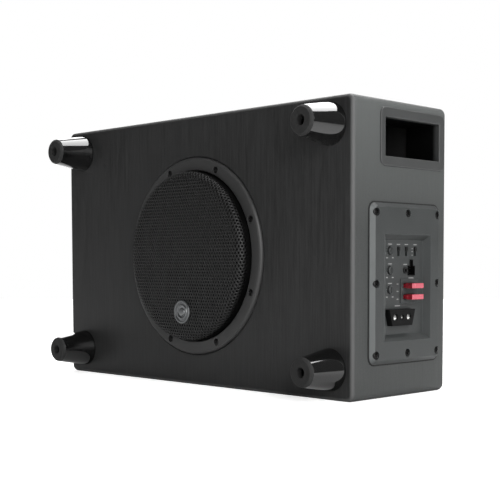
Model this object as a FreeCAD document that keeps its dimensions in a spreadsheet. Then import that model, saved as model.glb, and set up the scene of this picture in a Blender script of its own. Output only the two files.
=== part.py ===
import FreeCAD, Part
import os
import re
import Sketcher

# A powered car subwoofer standing on its long narrow side.
# Millimetres. Origin: middle of the flat base, +Z up, +X along the cabinet towards the
# amplifier end, -Y the way the driver and the four feet face.

V = FreeCAD.Vector
doc = FreeCAD.newDocument("powered_subwoofer")
sheet = doc.addObject("Spreadsheet::Sheet", "Dims")

SIZES = {
    # cabinet
    "box_long": 475, "box_deep": 150, "box_high": 300,
    "board": 12, "baffle": 18, "corner_round": 8, "edge_round": 4.5,
    # driver; the depths are measured back from the baffle's face
    "driver_across": 4, "driver_up": 144, "cutout_rad": 92, "recess_rad": 110.2,
    "recess_deep": 6, "frame_rad": 109, "sheet_steel": 2, "foam": 1,
    "ring_inner": 95, "ring_outer": 109.6, "ring_proud": 4, "rebate_rad": 100, "grille_foot_rad": 99,
    "driver_screw_circle": 101.5, "screw_hole_rad": 2.3, "screw_sink_rad": 3.9, "screw_sink": 2.4,
    "magnet_rad": 62, "plate_rad": 56, "pole_rad": 18.4, "gap_rad": 21, "vent_rad": 6,
    "throat_depth": 19, "ledge_depth": 57, "plate_front": 77, "plate_back": 83,
    "ferrite_rad": 30, "ferrite_back": 101, "yoke_back": 107,
    "former_rad": 19, "former_wall": 0.3, "former_front": 43, "former_back": 89,
    "coil_thick": 0.8, "coil_front": 72, "coil_back": 88,
    "cone_rad": 78, "cone_neck": 46, "cone_thick": 1.9, "roll_rad": 5, "rubber_skin": 1,
    "cap_ball": 41.3, "cap_rad": 26.7, "cap_depth": 29, "running_gap": 0.3,
    "spider_rad": 66, "spider_flat_rad": 60, "spider_wave": 9, "spider_lift": 1.8, "cloth": 0.8,
    "grille_rad": 94, "grille_wall": 1.2, "grille_proud": 19, "grille_shoulder": 9,
    "badge_rad": 13, "badge_drop": 61.5, "badge_thick": 1.2,
    # feet
    "foot_across": 208, "foot_low": 30.5, "foot_top": 272.6, "foot_long": 43,
    "foot_base_rad": 21.5, "foot_tip_rad": 14.4, "foot_hole_rad": 5.4, "foot_bolt_rad": 2.5,
    "pad_deep": 3.5, "pad_root_rad": 9.5, "bolt_seat": 13, "bolt_head_rad": 4.6,
    # port
    "port_front": -27.3, "port_rear": 61.2, "port_bottom": 243.2, "port_top": 281.7,
    "port_wall": 1.5, "sleeve_long": 42, "flange_thick": 2, "flange_front": 7.3, "flange_rear": 9.2,
    "flange_edge": 10, "duct_board": 10, "duct_end": 30, "duct_play": 0.5,
    # amplifier panel; places along X are measured from the middle of the box
    "panel_mid_y": 4.5, "panel_mid_z": 115.7, "panel_wide": 112, "panel_high": 161.5,
    "panel_round": 8, "panel_proud": 5.6, "seal": 0.8, "panel_bevel": 4.2,
    "cut_front": -40, "cut_rear": 49.5, "cut_bottom": 48.5, "cut_top": 183.5,
    "brim_front": -33.4, "brim_rear": 42.7, "brim_bottom": 57.4, "brim_top": 165.4,
    "floor_front": -21.3, "floor_rear": 40, "floor_bottom": 64, "floor_top": 159.8,
    "tub_front": -30, "tub_rear": 44.5, "tub_bottom": 60, "tub_top": 165,
    "well_floor": 234.6, "tub_back": 231.1, "circuit_face": 222.7, "circuit_thick": 1.6,
    "panel_screw_y": 49.5, "panel_screw_z": 71, "panel_head_rad": 3.9, "panel_sink": 2.8,
    # controls in the well
    "knob_y": -14.4, "knob_rad": 4, "knob_hole_rad": 4.4, "knob_out": 2.6, "shaft_rad": 1.5,
    "knob_gain": 149, "knob_crossover": 129, "knob_boost": 109.2,
    "switch_phase": -0.7, "switch_input": 12.1, "switch_mode": 26.8,
    "switch_z": 148.5, "switch_wide": 4, "switch_high": 9.7,
    "jack_y": 10.4, "jack_z": 128.9, "jack_rad": 3.4, "jack_bore": 1.8, "jack_deep": 11.5,
    "socket_mid": 20.2, "socket_wide": 11, "socket_bottom": 123.7, "socket_top": 133.8,
    "neck_wide": 4.4, "neck_top": 140, "pin": 0.8,
    "fuse_mid": 16.4, "fuse_wide": 19.1, "fuse_thick": 5.1, "fuse_upper": 113.2, "fuse_lower": 101.8,
    "fuse_out": 246.7, "fuse_back": 232.1, "fuse_head": 8, "blade_tip": 224.3, "blade_wide": 5.2,
    "blade_thick": 0.7, "blade_apart": 6.9, "holder_half": 14, "holder_edge": 6.8,
    "block_mid": -2, "block_top": 89.4, "block_bottom": 72.8, "block_top_wide": 42,
    "block_low_wide": 32, "block_out": 241.5, "block_screw_z": 81.6, "block_screw_apart": 10.9,
    "power_screw_rad": 3.3, "remote_screw_rad": 1.9,
    # electronics behind the panel
    "cover_back": 174.5, "cover_sheet": 1.2, "fin_front": 194.5, "sink_base": 4, "fin_long": 16,
}


def fill_sheet():
    for row, (name, size) in enumerate(SIZES.items(), start=1):
        sheet.set(f"A{row}", name)
        sheet.set(f"B{row}", str(size))
        sheet.setAlias(f"B{row}", name)
    doc.recompute()


def on_sheet(expression):
    """The expression with each size name pointing at its cell."""
    return re.sub(r"[a-z]\w+", lambda word: "Dims." + word.group(0), str(expression))


def value(expression):
    return float(sheet.evalExpression(str(expression)))


def bind(thing, **expressions):
    for name, expression in expressions.items():
        thing.setExpression(name, on_sheet(expression))
    return thing


def place(thing, spot, turn=None):
    """Puts a thing at a spot, three expressions, after an optional turn."""
    if turn is not None:
        thing.Placement = FreeCAD.Placement(V(), turn)
    for axis, expression in zip("xyz", spot):
        thing.setExpression(f"Placement.Base.{axis}", on_sheet(expression))
    return thing


# ---------------------------------------------------------------- plain solids

def block(name, x_span, y_span, z_span):
    """A box between pairs of expressions."""
    box = doc.addObject("Part::Box", name)
    bind(box, Length=f"({x_span[1]}) - ({x_span[0]})", Width=f"({y_span[1]}) - ({y_span[0]})",
         Height=f"({z_span[1]}) - ({z_span[0]})")
    return place(box, (x_span[0], y_span[0], z_span[0]))


TURNS = {
    "x": FreeCAD.Rotation(V(0, 0, 1), V(1, 0, 0)),
    "y": FreeCAD.Rotation(V(0, 0, 1), V(0, 1, 0)),
    "z": FreeCAD.Rotation(),
}


def rod(name, radius, length, start, axis):
    """A round bar from its start point along an axis."""
    bar = doc.addObject("Part::Cylinder", name)
    bind(bar, Radius=radius, Height=length)
    return place(bar, start, TURNS[axis])


def joined(name, pieces):
    union = doc.addObject("Part::MultiFuse", name)
    union.Shapes = pieces
    return union


def group(name, pieces):
    """Separate identical solids that share one node."""
    bundle = doc.addObject("Part::Compound", name)
    bundle.Links = pieces
    return bundle


def without(name, base, tools):
    """The base with all the tools cut out of it."""
    cut = doc.addObject("Part::Cut", name)
    cut.Base = base
    cut.Tool = tools[0] if len(tools) == 1 else joined(name + "_cutters", tools)
    return cut


# ---------------------------------------------------------------- sketched solids

def origin_of(body, role):
    return next(item for item in body.Origin.OriginFeatures if item.Role == role)


def new_sketch(body, role, lift="0"):
    """An empty sketch on one of the body's own planes, lifted along its normal."""
    sketch = body.newObject("Sketcher::SketchObject", body.Name + "_sketch")
    sketch.AttachmentSupport = [(origin_of(body, role), "")]
    sketch.MapMode = "FlatFace"
    sketch.setExpression("AttachmentOffset.Base.z", on_sheet(lift))
    return sketch


def pin(sketch, item, end, along, across):
    """Ties a point to the sheet, measured from the sketch's origin."""
    for kind, axis, expression in (("DistanceX", -2, along), ("DistanceY", -1, across)):
        distance = value(expression)
        if abs(distance) < 1e-9:
            sketch.addConstraint(Sketcher.Constraint("PointOnObject", item, end, axis))
        elif distance > 0:
            mark = sketch.addConstraint(Sketcher.Constraint(kind, -1, 1, item, end, distance))
            sketch.setExpression(f"Constraints[{mark}]", on_sheet(expression))
        else:
            mark = sketch.addConstraint(Sketcher.Constraint(kind, item, end, -1, 1, -distance))
            sketch.setExpression(f"Constraints[{mark}]", on_sheet(f"-({expression})"))


def draw(sketch, points):
    """A closed outline. A third entry marks a point that an arc passes through."""
    spots = [V(value(point[0]), value(point[1]), 0) for point in points]
    count = len(points)
    edges = []
    index = 0
    while index < count:
        after = (index + 1) % count
        if len(points[after]) == 3:
            far = (index + 2) % count
            item = sketch.addGeometry(Part.ArcOfCircle(spots[index], spots[after], spots[far]), False)
            forward = sketch.getPoint(item, 1).isEqual(spots[index], 1e-6)
            via = sketch.addGeometry(Part.Point(spots[after]), True)
            pin(sketch, via, 1, *points[after][:2])
            sketch.addConstraint(Sketcher.Constraint("PointOnObject", via, 1, item))
            step = 2
        else:
            item = sketch.addGeometry(Part.LineSegment(spots[index], spots[after]), False)
            forward = True
            step = 1
        edges.append((item, 1 if forward else 2, 2 if forward else 1, points[index]))
        index += step
    for edge, following in zip(edges, edges[1:] + edges[:1]):
        sketch.addConstraint(Sketcher.Constraint("Coincident", edge[0], edge[2], following[0],
                                                 following[1]))
        pin(sketch, edge[0], edge[1], *edge[3])


def rectangle(sketch, across, up):
    draw(sketch, [(across[0], up[0]), (across[1], up[0]), (across[1], up[1]), (across[0], up[1])])


def circle(sketch, radius, centre):
    spot = V(value(centre[0]), value(centre[1]), 0)
    item = sketch.addGeometry(Part.Circle(spot, V(0, 0, 1), value(radius)), False)
    pin(sketch, item, 3, *centre)
    mark = sketch.addConstraint(Sketcher.Constraint("Radius", item, value(radius)))
    sketch.setExpression(f"Constraints[{mark}]", on_sheet(radius))


def feature(body, kind, profile):
    made = body.newObject("PartDesign::" + kind, body.Name + "_" + kind.lower())
    made.Profile = profile
    return made


def turned(name, axis, points, spot=("0", "0", "0")):
    """A solid of revolution. Points are (radius, y) about Y, or (x, radius) about X."""
    body = doc.addObject("PartDesign::Body", name)
    sketch = new_sketch(body, "XY_Plane")
    draw(sketch, points)
    spin = feature(body, "Revolution", sketch)
    spin.ReferenceAxis = (origin_of(body, axis.upper() + "_Axis"), [""])
    spin.Angle = 360
    place(body, spot)
    return body


def pad(body, sketch, length, inward=False):
    made = bind(feature(body, "Pad", sketch), Length=length)
    made.Reversed = inward
    return made


def edges_along(shape, direction):
    """Names of the straight edges that run along a direction."""
    names = []
    for number, edge in enumerate(shape.Edges, start=1):
        straight = edge.Curve.TypeId == "Part::GeomLine"
        if straight and abs(edge.tangentAt(edge.FirstParameter).dot(direction)) > 0.999:
            names.append(f"Edge{number}")
    return names


def edges_at(shape, direction, height):
    """Names of the edges that lie wholly in the plane at a height along a direction."""
    names = []
    for number, edge in enumerate(shape.Edges, start=1):
        spots = [edge.valueAt(edge.FirstParameter), edge.CenterOfMass, edge.valueAt(edge.LastParameter)]
        if all(abs(spot.dot(direction) - height) < 1e-4 for spot in spots):
            names.append(f"Edge{number}")
    return names


def soften(body, kind, base, names, **sizes):
    """A fillet or chamfer over the named edges of the base feature."""
    made = body.newObject("PartDesign::" + kind, body.Name + "_" + kind.lower())
    made.Base = (base, names)
    bind(made, **sizes)
    return made


def around(body, source, count):
    """Repeats a feature evenly round the body's Y axis."""
    ring = body.newObject("PartDesign::PolarPattern", body.Name + "_pattern")
    ring.Originals = [source]
    ring.Axis = (origin_of(body, "Y_Axis"), [""])
    ring.Angle = 360
    ring.Occurrences = count
    body.Tip = ring
    return ring


# ---------------------------------------------------------------- places that many pieces share

FRONT = "-box_deep / 2"
REAR = "box_deep / 2"
END = "box_long / 2"
RECESS_FLOOR = f"{FRONT} + recess_deep"
FLANGE_FRONT = f"{RECESS_FLOOR} - foam - sheet_steel"
INNER_FRONT = f"{FRONT} + baffle"
INNER_REAR = f"{REAR} - board"
DRIVER = ("driver_across", "0", "driver_up")
FEET = {
    "upper_left": ("-foot_across", "0", "foot_top"),
    "upper_right": ("foot_across", "0", "foot_top"),
    "lower_left": ("-foot_across", "0", "foot_low"),
    "lower_right": ("foot_across", "0", "foot_low"),
}
PANEL_BACK = f"{END} + seal"
PANEL_FACE = f"{END} + panel_proud"
NEAR_SHARE = 0.38268
FAR_SHARE = 0.92388
FIRST_SCREW = (f"{NEAR_SHARE} * driver_screw_circle", f"{FAR_SHARE} * driver_screw_circle")


def driver_screw_spots():
    """World x and z of the driver's screws, 22.5 degrees either side of each axis."""
    spots = []
    for along, up in ((FAR_SHARE, NEAR_SHARE), (NEAR_SHARE, FAR_SHARE)):
        for side in (1, -1):
            for level in (1, -1):
                spots.append((f"driver_across + {side * along} * driver_screw_circle",
                              f"driver_up + {level * up} * driver_screw_circle"))
    return spots


def panel_screw_spots():
    """World y and z of the amplifier panel's screws: corners and the middle of each side."""
    return [(f"panel_mid_y + {across} * panel_screw_y", f"panel_mid_z + {up} * panel_screw_z")
            for across in (-1, 0, 1) for up in (-1, 0, 1) if (across, up) != (0, 0)]


# ---------------------------------------------------------------- cabinet

def cabinet_form():
    """The whole outside of the box, with its rounded corners and softened faces."""
    body = doc.addObject("PartDesign::Body", "cabinet_form")
    sketch = new_sketch(body, "XZ_Plane")
    rectangle(sketch, ("-box_long / 2", "box_long / 2"), ("0", "box_high"))
    slab = bind(feature(body, "Pad", sketch), Length="box_deep")
    slab.Midplane = True
    doc.recompute()
    rounded = soften(body, "Fillet", slab, edges_along(slab.Shape, V(0, 1, 0)), Radius="corner_round")
    doc.recompute()
    rims = edges_at(rounded.Shape, V(0, 1, 0), value(FRONT)) + edges_at(rounded.Shape, V(0, 1, 0),
                                                                        value(REAR))
    soften(body, "Fillet", rounded, rims, Radius="edge_round")
    doc.recompute()
    return body


def cabinet_board(name, form, x_span, y_span, z_span, cutters=()):
    """One board of the box: the box's outside form, kept within a slab."""
    slab = block(name + "_slab", x_span, y_span, z_span)
    common_name = name + "_blank" if cutters else name
    board = doc.addObject("Part::Common", common_name)
    board.Base = form
    board.Tool = slab
    return without(name, board, list(cutters)) if cutters else board


def baffle_cutters():
    """Driver recess and hole, its eight screw holes, and the four foot bolt holes."""
    across, up = DRIVER[0], DRIVER[2]
    cutters = [
        rod("driver_recess", "recess_rad", "recess_deep + 1", (across, f"{FRONT} - 1", up), "y"),
        rod("driver_cutout", "cutout_rad", "baffle + 2", (across, f"{FRONT} - 1", up), "y"),
    ]
    for x, z in driver_screw_spots():
        cutters.append(rod("driver_pilot", "1.8", "baffle + 2", (x, f"{FRONT} - 1", z), "y"))
    for spot in FEET.values():
        cutters.append(rod("foot_bolt_hole", "3.4", "baffle + 2", (spot[0], f"{FRONT} - 1", spot[2]),
                           "y"))
    return cutters


def end_panel_cutters():
    """Port mouth notch, amplifier window and the pilot holes of the panel screws."""
    outside = f"{END} + 1"
    inside = f"{END} - board - 1"
    cutters = [
        block("port_notch", (inside, outside), ("port_front - port_wall - 0.5", f"{REAR}"),
              ("port_bottom - port_wall - 0.5", "port_top + port_wall + 0.5")),
        block("amp_window", (inside, outside), ("cut_front", "cut_rear"), ("cut_bottom", "cut_top")),
    ]
    for y, z in panel_screw_spots():
        cutters.append(rod("panel_pilot", "1.8", "board + 2", (inside, y, z), "x"))
    return cutters


def build_cabinet():
    form = cabinet_form()
    whole_x = (f"-({END})", END)
    inner_y = (INNER_FRONT, INNER_REAR)
    whole_z = ("0", "box_high")
    inner_z = ("board", "box_high - board")
    return [
        cabinet_board("front_baffle", form, whole_x, (FRONT, INNER_FRONT), whole_z, baffle_cutters()),
        cabinet_board("rear_panel", form, whole_x, (INNER_REAR, REAR), whole_z),
        cabinet_board("top_panel", form, whole_x, inner_y, ("box_high - board", "box_high")),
        cabinet_board("bottom_panel", form, whole_x, inner_y, ("0", "board")),
        cabinet_board("left_end_panel", form, (f"-({END})", f"-({END}) + board"), inner_y, inner_z),
        cabinet_board("right_end_panel", form, (f"{END} - board", END), inner_y, inner_z,
                      end_panel_cutters()),
    ]


# ---------------------------------------------------------------- port

def port_trim():
    """Moulded mouth of the slot port: a rounded flange on the box and a sleeve into the duct."""
    body = doc.addObject("PartDesign::Body", "port_trim")
    mouth_y = ("port_front", "port_rear")
    mouth_z = ("port_bottom", "port_top")
    outside = new_sketch(body, "YZ_Plane")
    rectangle(outside, ("port_front - flange_front", "port_rear + flange_rear"),
              ("port_bottom - flange_edge", "port_top + flange_edge"))
    flange = pad(body, outside, "flange_thick")
    doc.recompute()
    corners = soften(body, "Fillet", flange, edges_along(flange.Shape, V(1, 0, 0)),
                     Radius="corner_round - 1")
    doc.recompute()
    face = edges_at(corners.Shape, V(1, 0, 0), value("flange_thick"))
    soften(body, "Fillet", corners, face, Radius="flange_thick * 0.7")
    sleeve = new_sketch(body, "YZ_Plane")
    rectangle(sleeve, ("port_front - port_wall", "port_rear + port_wall"),
              ("port_bottom - port_wall", "port_top + port_wall"))
    pad(body, sleeve, "sleeve_long", inward=True)
    mouth = new_sketch(body, "YZ_Plane", "flange_thick")
    rectangle(mouth, mouth_y, mouth_z)
    bore = bind(feature(body, "Pocket", mouth), Length="sleeve_long + flange_thick")
    doc.recompute()
    rim = edges_at(bore.Shape, V(1, 0, 0), value("flange_thick"))
    lip = [name for name in rim if on_mouth(bore.Shape, name)]
    soften(body, "Fillet", bore, lip, Radius="1.2")
    return place(body, (END, "0", "0"))


def on_mouth(shape, name):
    """True for an edge of the port's mouth, false for one of the flange's outline."""
    middle = shape.getElement(name).CenterOfMass
    in_y = value("port_front") - 0.01 <= middle.y <= value("port_rear") + 0.01
    in_z = value("port_bottom") - 0.01 <= middle.z <= value("port_top") + 0.01
    return in_y and in_z


def build_port():
    """The duct shares the rear and top boards, and has a floor and a side of its own."""
    along = ("duct_end", f"{END} - board")
    side_front = "port_front - port_wall - duct_play - duct_board"
    floor_top = "port_bottom - port_wall - duct_play"
    floor = block("port_floor_board", along, (side_front, INNER_REAR),
                  (f"{floor_top} - duct_board", floor_top))
    side = block("port_side_board", along, (side_front, f"{side_front} + duct_board"),
                 (floor_top, "box_high - board"))
    return [port_trim(), floor, side]


# ---------------------------------------------------------------- driver, all round one axis along Y

def driver_basket():
    """Pressed steel frame: flange, six windowed spokes, spider ledge and magnet seat."""
    front = FLANGE_FRONT
    throat = f"{FRONT} + throat_depth"
    ledge = f"{FRONT} + ledge_depth"
    seat = f"{FRONT} + plate_front"
    body = turned("driver_basket", "y", [
        ("cutout_rad - 3", front), ("frame_rad", front), ("frame_rad", f"{front} + sheet_steel"),
        ("cutout_rad - 1", f"{front} + sheet_steel"), ("cutout_rad - 2", f"{throat} + 1"),
        ("spider_rad + 2", f"{ledge} + sheet_steel"), ("plate_rad - 1", f"{ledge} + sheet_steel"),
        ("plate_rad - 1", f"{seat} - sheet_steel"), ("plate_rad", f"{seat} - sheet_steel"),
        ("plate_rad", seat),
        ("ferrite_rad", seat), ("ferrite_rad", f"{seat} - sheet_steel"),
        ("plate_rad - 3", f"{seat} - sheet_steel"),
        ("plate_rad - 3", ledge), ("spider_rad + 1", ledge), ("cutout_rad - 4", throat),
    ])
    window = new_sketch(body, "XZ_Plane")
    draw(window, [("-20", "69"), ("0", "72", "via"), ("20", "69"), ("27", "81"), ("0", "85.5", "via"),
                  ("-27", "81")])
    opening = feature(body, "Pocket", window)
    opening.Type = "ThroughAll"
    opening.Midplane = True
    around(body, opening, 6)
    pierce(body, "screw_hole_rad")
    return place(body, DRIVER)


def flat_ring(name, inner, outer, back, front, hole=None):
    """A flat ring round the driver's axis, with eight screw holes where hole gives a radius."""
    body = turned(name, "y", [(inner, front), (outer, front), (outer, back), (inner, back)], DRIVER)
    if hole:
        pierce(body, hole)
    return body


def pierce(body, radius):
    """Eight screw holes right through a ring."""
    sketch = new_sketch(body, "XZ_Plane")
    circle(sketch, radius, FIRST_SCREW)
    hole = feature(body, "Pocket", sketch)
    hole.Type = "ThroughAll"
    hole.Midplane = True
    around(body, hole, 8)


def trim_ring():
    """Raised plastic ring over the driver's flange, rebated over the grille's foot."""
    top = f"{FRONT} - ring_proud"
    foot = f"{FLANGE_FRONT} - grille_wall"
    body = turned("trim_ring", "y", [
        ("ring_inner", f"{top} + 1"), ("ring_inner + 1", top), ("ring_outer - 3.5", top),
        ("ring_outer - 1", f"{top} + 0.8", "via"), ("ring_outer", f"{top} + 3"),
        ("ring_outer", FLANGE_FRONT), ("rebate_rad", FLANGE_FRONT), ("rebate_rad", foot),
        ("ring_inner", foot),
    ], DRIVER)
    pierce(body, "screw_hole_rad")
    sinks = new_sketch(body, "XZ_Plane", f"-({top}) - screw_sink")
    circle(sinks, "screw_sink_rad", FIRST_SCREW)
    sink = feature(body, "Pocket", sinks)
    sink.Type = "ThroughAll"
    sink.Reversed = True
    around(body, sink, 8)
    return body


def grille():
    """Pressed steel dish over the cone; its foot is held under the trim ring."""
    face = f"{FRONT} - grille_proud"
    bend = f"{face} + grille_shoulder"
    seat = FLANGE_FRONT
    inside = "grille_rad - grille_wall"
    return turned("grille", "y", [
        ("0", face), ("grille_rad - grille_shoulder", face),
        ("grille_rad - 0.29289 * grille_shoulder", f"{face} + 0.29289 * grille_shoulder", "via"),
        ("grille_rad", bend), ("grille_rad", f"{seat} - grille_wall"),
        ("grille_foot_rad", f"{seat} - grille_wall"),
        ("grille_foot_rad", seat), (inside, seat), (inside, bend),
        ("grille_rad - 0.29289 * grille_shoulder - 0.70711 * grille_wall",
         f"{face} + 0.29289 * grille_shoulder + 0.70711 * grille_wall", "via"),
        ("grille_rad - grille_shoulder", f"{face} + grille_wall"), ("0", f"{face} + grille_wall"),
    ], DRIVER)


def grille_badge():
    """Plain domed disc on the grille, below the middle."""
    face = f"{FRONT} - grille_proud"
    return turned("grille_badge", "y", [
        ("0", f"{face} - badge_thick - 0.6"), ("badge_rad * 0.55", f"{face} - badge_thick - 0.45", "via"),
        ("badge_rad - 0.6", f"{face} - badge_thick"), ("badge_rad", f"{face} - badge_thick + 0.5"),
        ("badge_rad", face), ("0", face),
    ], ("driver_across", "0", "driver_up - badge_drop"))


def surround():
    """Half-roll rubber edge between the cone and the frame."""
    rim = f"{FLANGE_FRONT} - running_gap"
    skin = "rubber_skin"
    roll = "roll_rad"
    middle = "cone_rad + roll_rad"
    return turned("surround", "y", [
        ("cone_rad - 3", f"{rim} - {skin}"), (f"{middle} - {roll}", f"{rim} - {skin}"),
        (middle, f"{rim} - {skin} - {roll}", "via"), (f"{middle} + {roll}", f"{rim} - {skin}"),
        ("grille_rad - grille_wall - 0.5", f"{rim} - {skin}"), ("grille_rad - grille_wall - 0.5", rim),
        (f"{middle} + {roll} - {skin}", rim), (middle, f"{rim} - {roll} + 0.2", "via"),
        (f"{middle} - {roll} + {skin}", rim), ("cone_rad - 3", rim),
    ], DRIVER)


def cone():
    """Stiff pulp cone from the surround down to the coil former."""
    rim = f"{FLANGE_FRONT} - running_gap"
    neck = "former_rad + former_wall"
    back = f"{FRONT} + cone_neck"
    return turned("cone", "y", [
        ("cone_rad - 1.6", rim), ("cone_rad - 4", rim), (neck, back), (neck, f"{back} + cone_thick"),
    ], DRIVER)


def dust_cap():
    """Domed cap glued over the middle of the cone: a slice of a hollow ball."""
    centre = (DRIVER[0], f"{FRONT} + cap_depth + cap_ball", DRIVER[2])
    ball = place(bind(doc.addObject("Part::Sphere", "cap_ball_outside"), Radius="cap_ball"), centre)
    hollow = place(bind(doc.addObject("Part::Sphere", "cap_ball_inside"), Radius="cap_ball - 1"), centre)
    cap = doc.addObject("Part::Common", "dust_cap")
    cap.Base = without("cap_shell", ball, [hollow])
    cap.Tool = rod("cap_slice", "cap_rad", "20", (DRIVER[0], f"{FRONT} + cap_depth - 2", DRIVER[2]), "y")
    return cap


def spider():
    """Corrugated cloth that centres the coil, out to the frame's ledge."""
    ledge = f"{FRONT} + ledge_depth - running_gap"
    upper = f"{ledge} - cloth"
    top_side = [("spider_rad", ledge), ("spider_rad", upper), ("spider_flat_rad", upper)]
    low_side = [("spider_flat_rad", ledge)]
    for number in range(4):
        middle = f"spider_flat_rad - {number + 0.5} * spider_wave"
        end = f"spider_flat_rad - {number + 1} * spider_wave"
        lift = "+ spider_lift" if number % 2 else "- spider_lift"
        top_side += [(middle, f"{upper} {lift}", "via"), (end, upper)]
        low_side = [(end, ledge), (middle, f"{ledge} {lift}", "via")] + low_side
    neck = [("former_rad + former_wall", upper), ("former_rad + former_wall", ledge)]
    return turned("spider", "y", top_side + neck + low_side, DRIVER)


def magnet_parts():
    """Top plate, ferrite ring and the yoke with its vented pole."""
    plate_front = f"{FRONT} + plate_front"
    plate_back = f"{FRONT} + plate_back"
    ferrite_back = f"{FRONT} + ferrite_back"
    yoke_back = f"{FRONT} + yoke_back"
    return [
        flat_ring("top_plate", "gap_rad", "plate_rad", plate_back, plate_front),
        flat_ring("ferrite_magnet", "ferrite_rad", "magnet_rad", ferrite_back, plate_back),
        turned("magnet_yoke", "y", [
            ("vent_rad", f"{plate_front} - 1"), ("pole_rad - 1", f"{plate_front} - 1"),
            ("pole_rad", plate_front),
            ("pole_rad", ferrite_back), ("plate_rad", ferrite_back),
            ("plate_rad + 2", f"{ferrite_back} + 2"),
            ("plate_rad + 2", yoke_back), ("vent_rad + 4", yoke_back), ("vent_rad", f"{yoke_back} - 4"),
        ], DRIVER),
    ]


def driver_terminals():
    """Fibre strip with two tabs, riveted under the frame's ledge below the magnet."""
    low = "driver_up - spider_rad"
    seat = f"{FRONT} + ledge_depth + sheet_steel"
    strip_y = (seat, f"{seat} + 1.6")
    strip = block("terminal_strip", ("driver_across - 13", "driver_across + 13"), strip_y,
                  (low, f"{low} + 10"))
    tab_y = (strip_y[1], f"{seat} + 2.4")
    tabs = []
    for side in (-8, 8):
        tab_x = (f"driver_across + {side} - 3.1", f"driver_across + {side} + 3.1")
        tabs.append(block("terminal_tab", tab_x, tab_y, (f"{low} - 6", f"{low} + 7")))
    return joined("driver_terminals", [strip] + tabs)


def build_driver():
    shell = "former_rad + former_wall"
    coil = turned("voice_coil", "y", [
        (shell, f"{FRONT} + coil_front"), (f"{shell} + coil_thick", f"{FRONT} + coil_front"),
        (f"{shell} + coil_thick", f"{FRONT} + coil_back"), (shell, f"{FRONT} + coil_back"),
    ], DRIVER)
    former = turned("coil_former", "y", [
        ("former_rad", f"{FRONT} + former_front"), (shell, f"{FRONT} + former_front"),
        (shell, f"{FRONT} + former_back"), ("former_rad", f"{FRONT} + former_back"),
    ], DRIVER)
    gasket_back = f"{RECESS_FLOOR} - foam"
    gasket = flat_ring("driver_gasket", "cutout_rad + 0.5", "frame_rad", RECESS_FLOOR, gasket_back,
                       "screw_hole_rad")
    return [driver_basket(), gasket, trim_ring(), driver_screws(), grille(), grille_badge(), surround(),
            cone(),
            dust_cap(), spider(), former, coil, driver_terminals()] + magnet_parts()


def driver_screws():
    """Eight pan-head wood screws through ring, flange and gasket."""
    seat = f"{FRONT} - ring_proud + screw_sink"
    screws = []
    for x, z in driver_screw_spots():
        screws.append(turned("driver_screw", "y", [
            ("0", f"{seat} - 2.2"), ("2", f"{seat} - 2", "via"), ("3.5", f"{seat} - 1.1"), ("3.5", seat),
            ("1.8", seat), ("1.8", f"{seat} + 17"), ("0", f"{seat} + 20"),
        ], (x, "0", z)))
    return group("driver_screws", screws)


# ---------------------------------------------------------------- feet

def foot(name, spot):
    """Tapered gloss foot, with a deep hole from its tip down to the bolt head."""
    tip = f"{FRONT} - foot_long + pad_deep"
    return turned(name, "y", [
        ("foot_bolt_rad + 0.2", FRONT), ("foot_base_rad - 0.6", FRONT),
        ("foot_base_rad", f"{FRONT} - 0.8"),
        ("foot_base_rad", f"{FRONT} - 2.4"), ("foot_tip_rad + 0.5", tip), ("pad_root_rad", tip),
        ("pad_root_rad", f"{tip} + 4"),
        ("foot_hole_rad", f"{tip} + 4"), ("foot_hole_rad", f"{FRONT} - bolt_seat"),
        ("foot_bolt_rad + 0.2", f"{FRONT} - bolt_seat"),
    ], spot)


def foot_pad(spot):
    """Soft ring pushed into a foot's tip."""
    tip = f"{FRONT} - foot_long"
    return turned("foot_pad", "y", [
        ("foot_hole_rad", tip), ("foot_tip_rad - 1.6", tip), ("foot_tip_rad", f"{tip} + 1.6"),
        ("foot_tip_rad + 0.5", f"{tip} + pad_deep"), ("pad_root_rad", f"{tip} + pad_deep"),
        ("pad_root_rad", f"{tip} + pad_deep + 4"), ("foot_hole_rad", f"{tip} + pad_deep + 4"),
    ], spot)


def foot_bolt(spot):
    seat = f"{FRONT} - bolt_seat"
    return turned("foot_bolt", "y", [
        ("0", f"{seat} - 3.2"), ("2.6", f"{seat} - 2.9", "via"), ("bolt_head_rad", f"{seat} - 1.8"),
        ("bolt_head_rad", seat),
        ("foot_bolt_rad", seat), ("foot_bolt_rad", f"{INNER_FRONT} + 3"), ("0", f"{INNER_FRONT} + 3"),
    ], spot)


def foot_tee_nut(spot):
    return turned("foot_tee_nut", "y", [
        ("foot_bolt_rad + 0.05", f"{INNER_FRONT} - 8"), ("3.3", f"{INNER_FRONT} - 8"),
        ("3.3", INNER_FRONT),
        ("9", INNER_FRONT), ("9", f"{INNER_FRONT} + 1.2"),
        ("foot_bolt_rad + 0.05", f"{INNER_FRONT} + 1.2"),
    ], spot)


def build_feet():
    spots = list(FEET.values())
    feet = [foot("foot_" + name, spot) for name, spot in FEET.items()]
    return feet + [
        group("foot_pads", [foot_pad(spot) for spot in spots]),
        group("foot_bolts", [foot_bolt(spot) for spot in spots]),
        group("foot_tee_nuts", [foot_tee_nut(spot) for spot in spots]),
    ]


# ---------------------------------------------------------------- amplifier panel

SWITCHES = {"phase": "switch_phase", "input": "switch_input", "mode": "switch_mode"}
KNOBS = {"gain": "knob_gain", "crossover": "knob_crossover", "boost": "knob_boost"}
FUSES = {"upper": "fuse_upper", "lower": "fuse_lower"}


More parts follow.
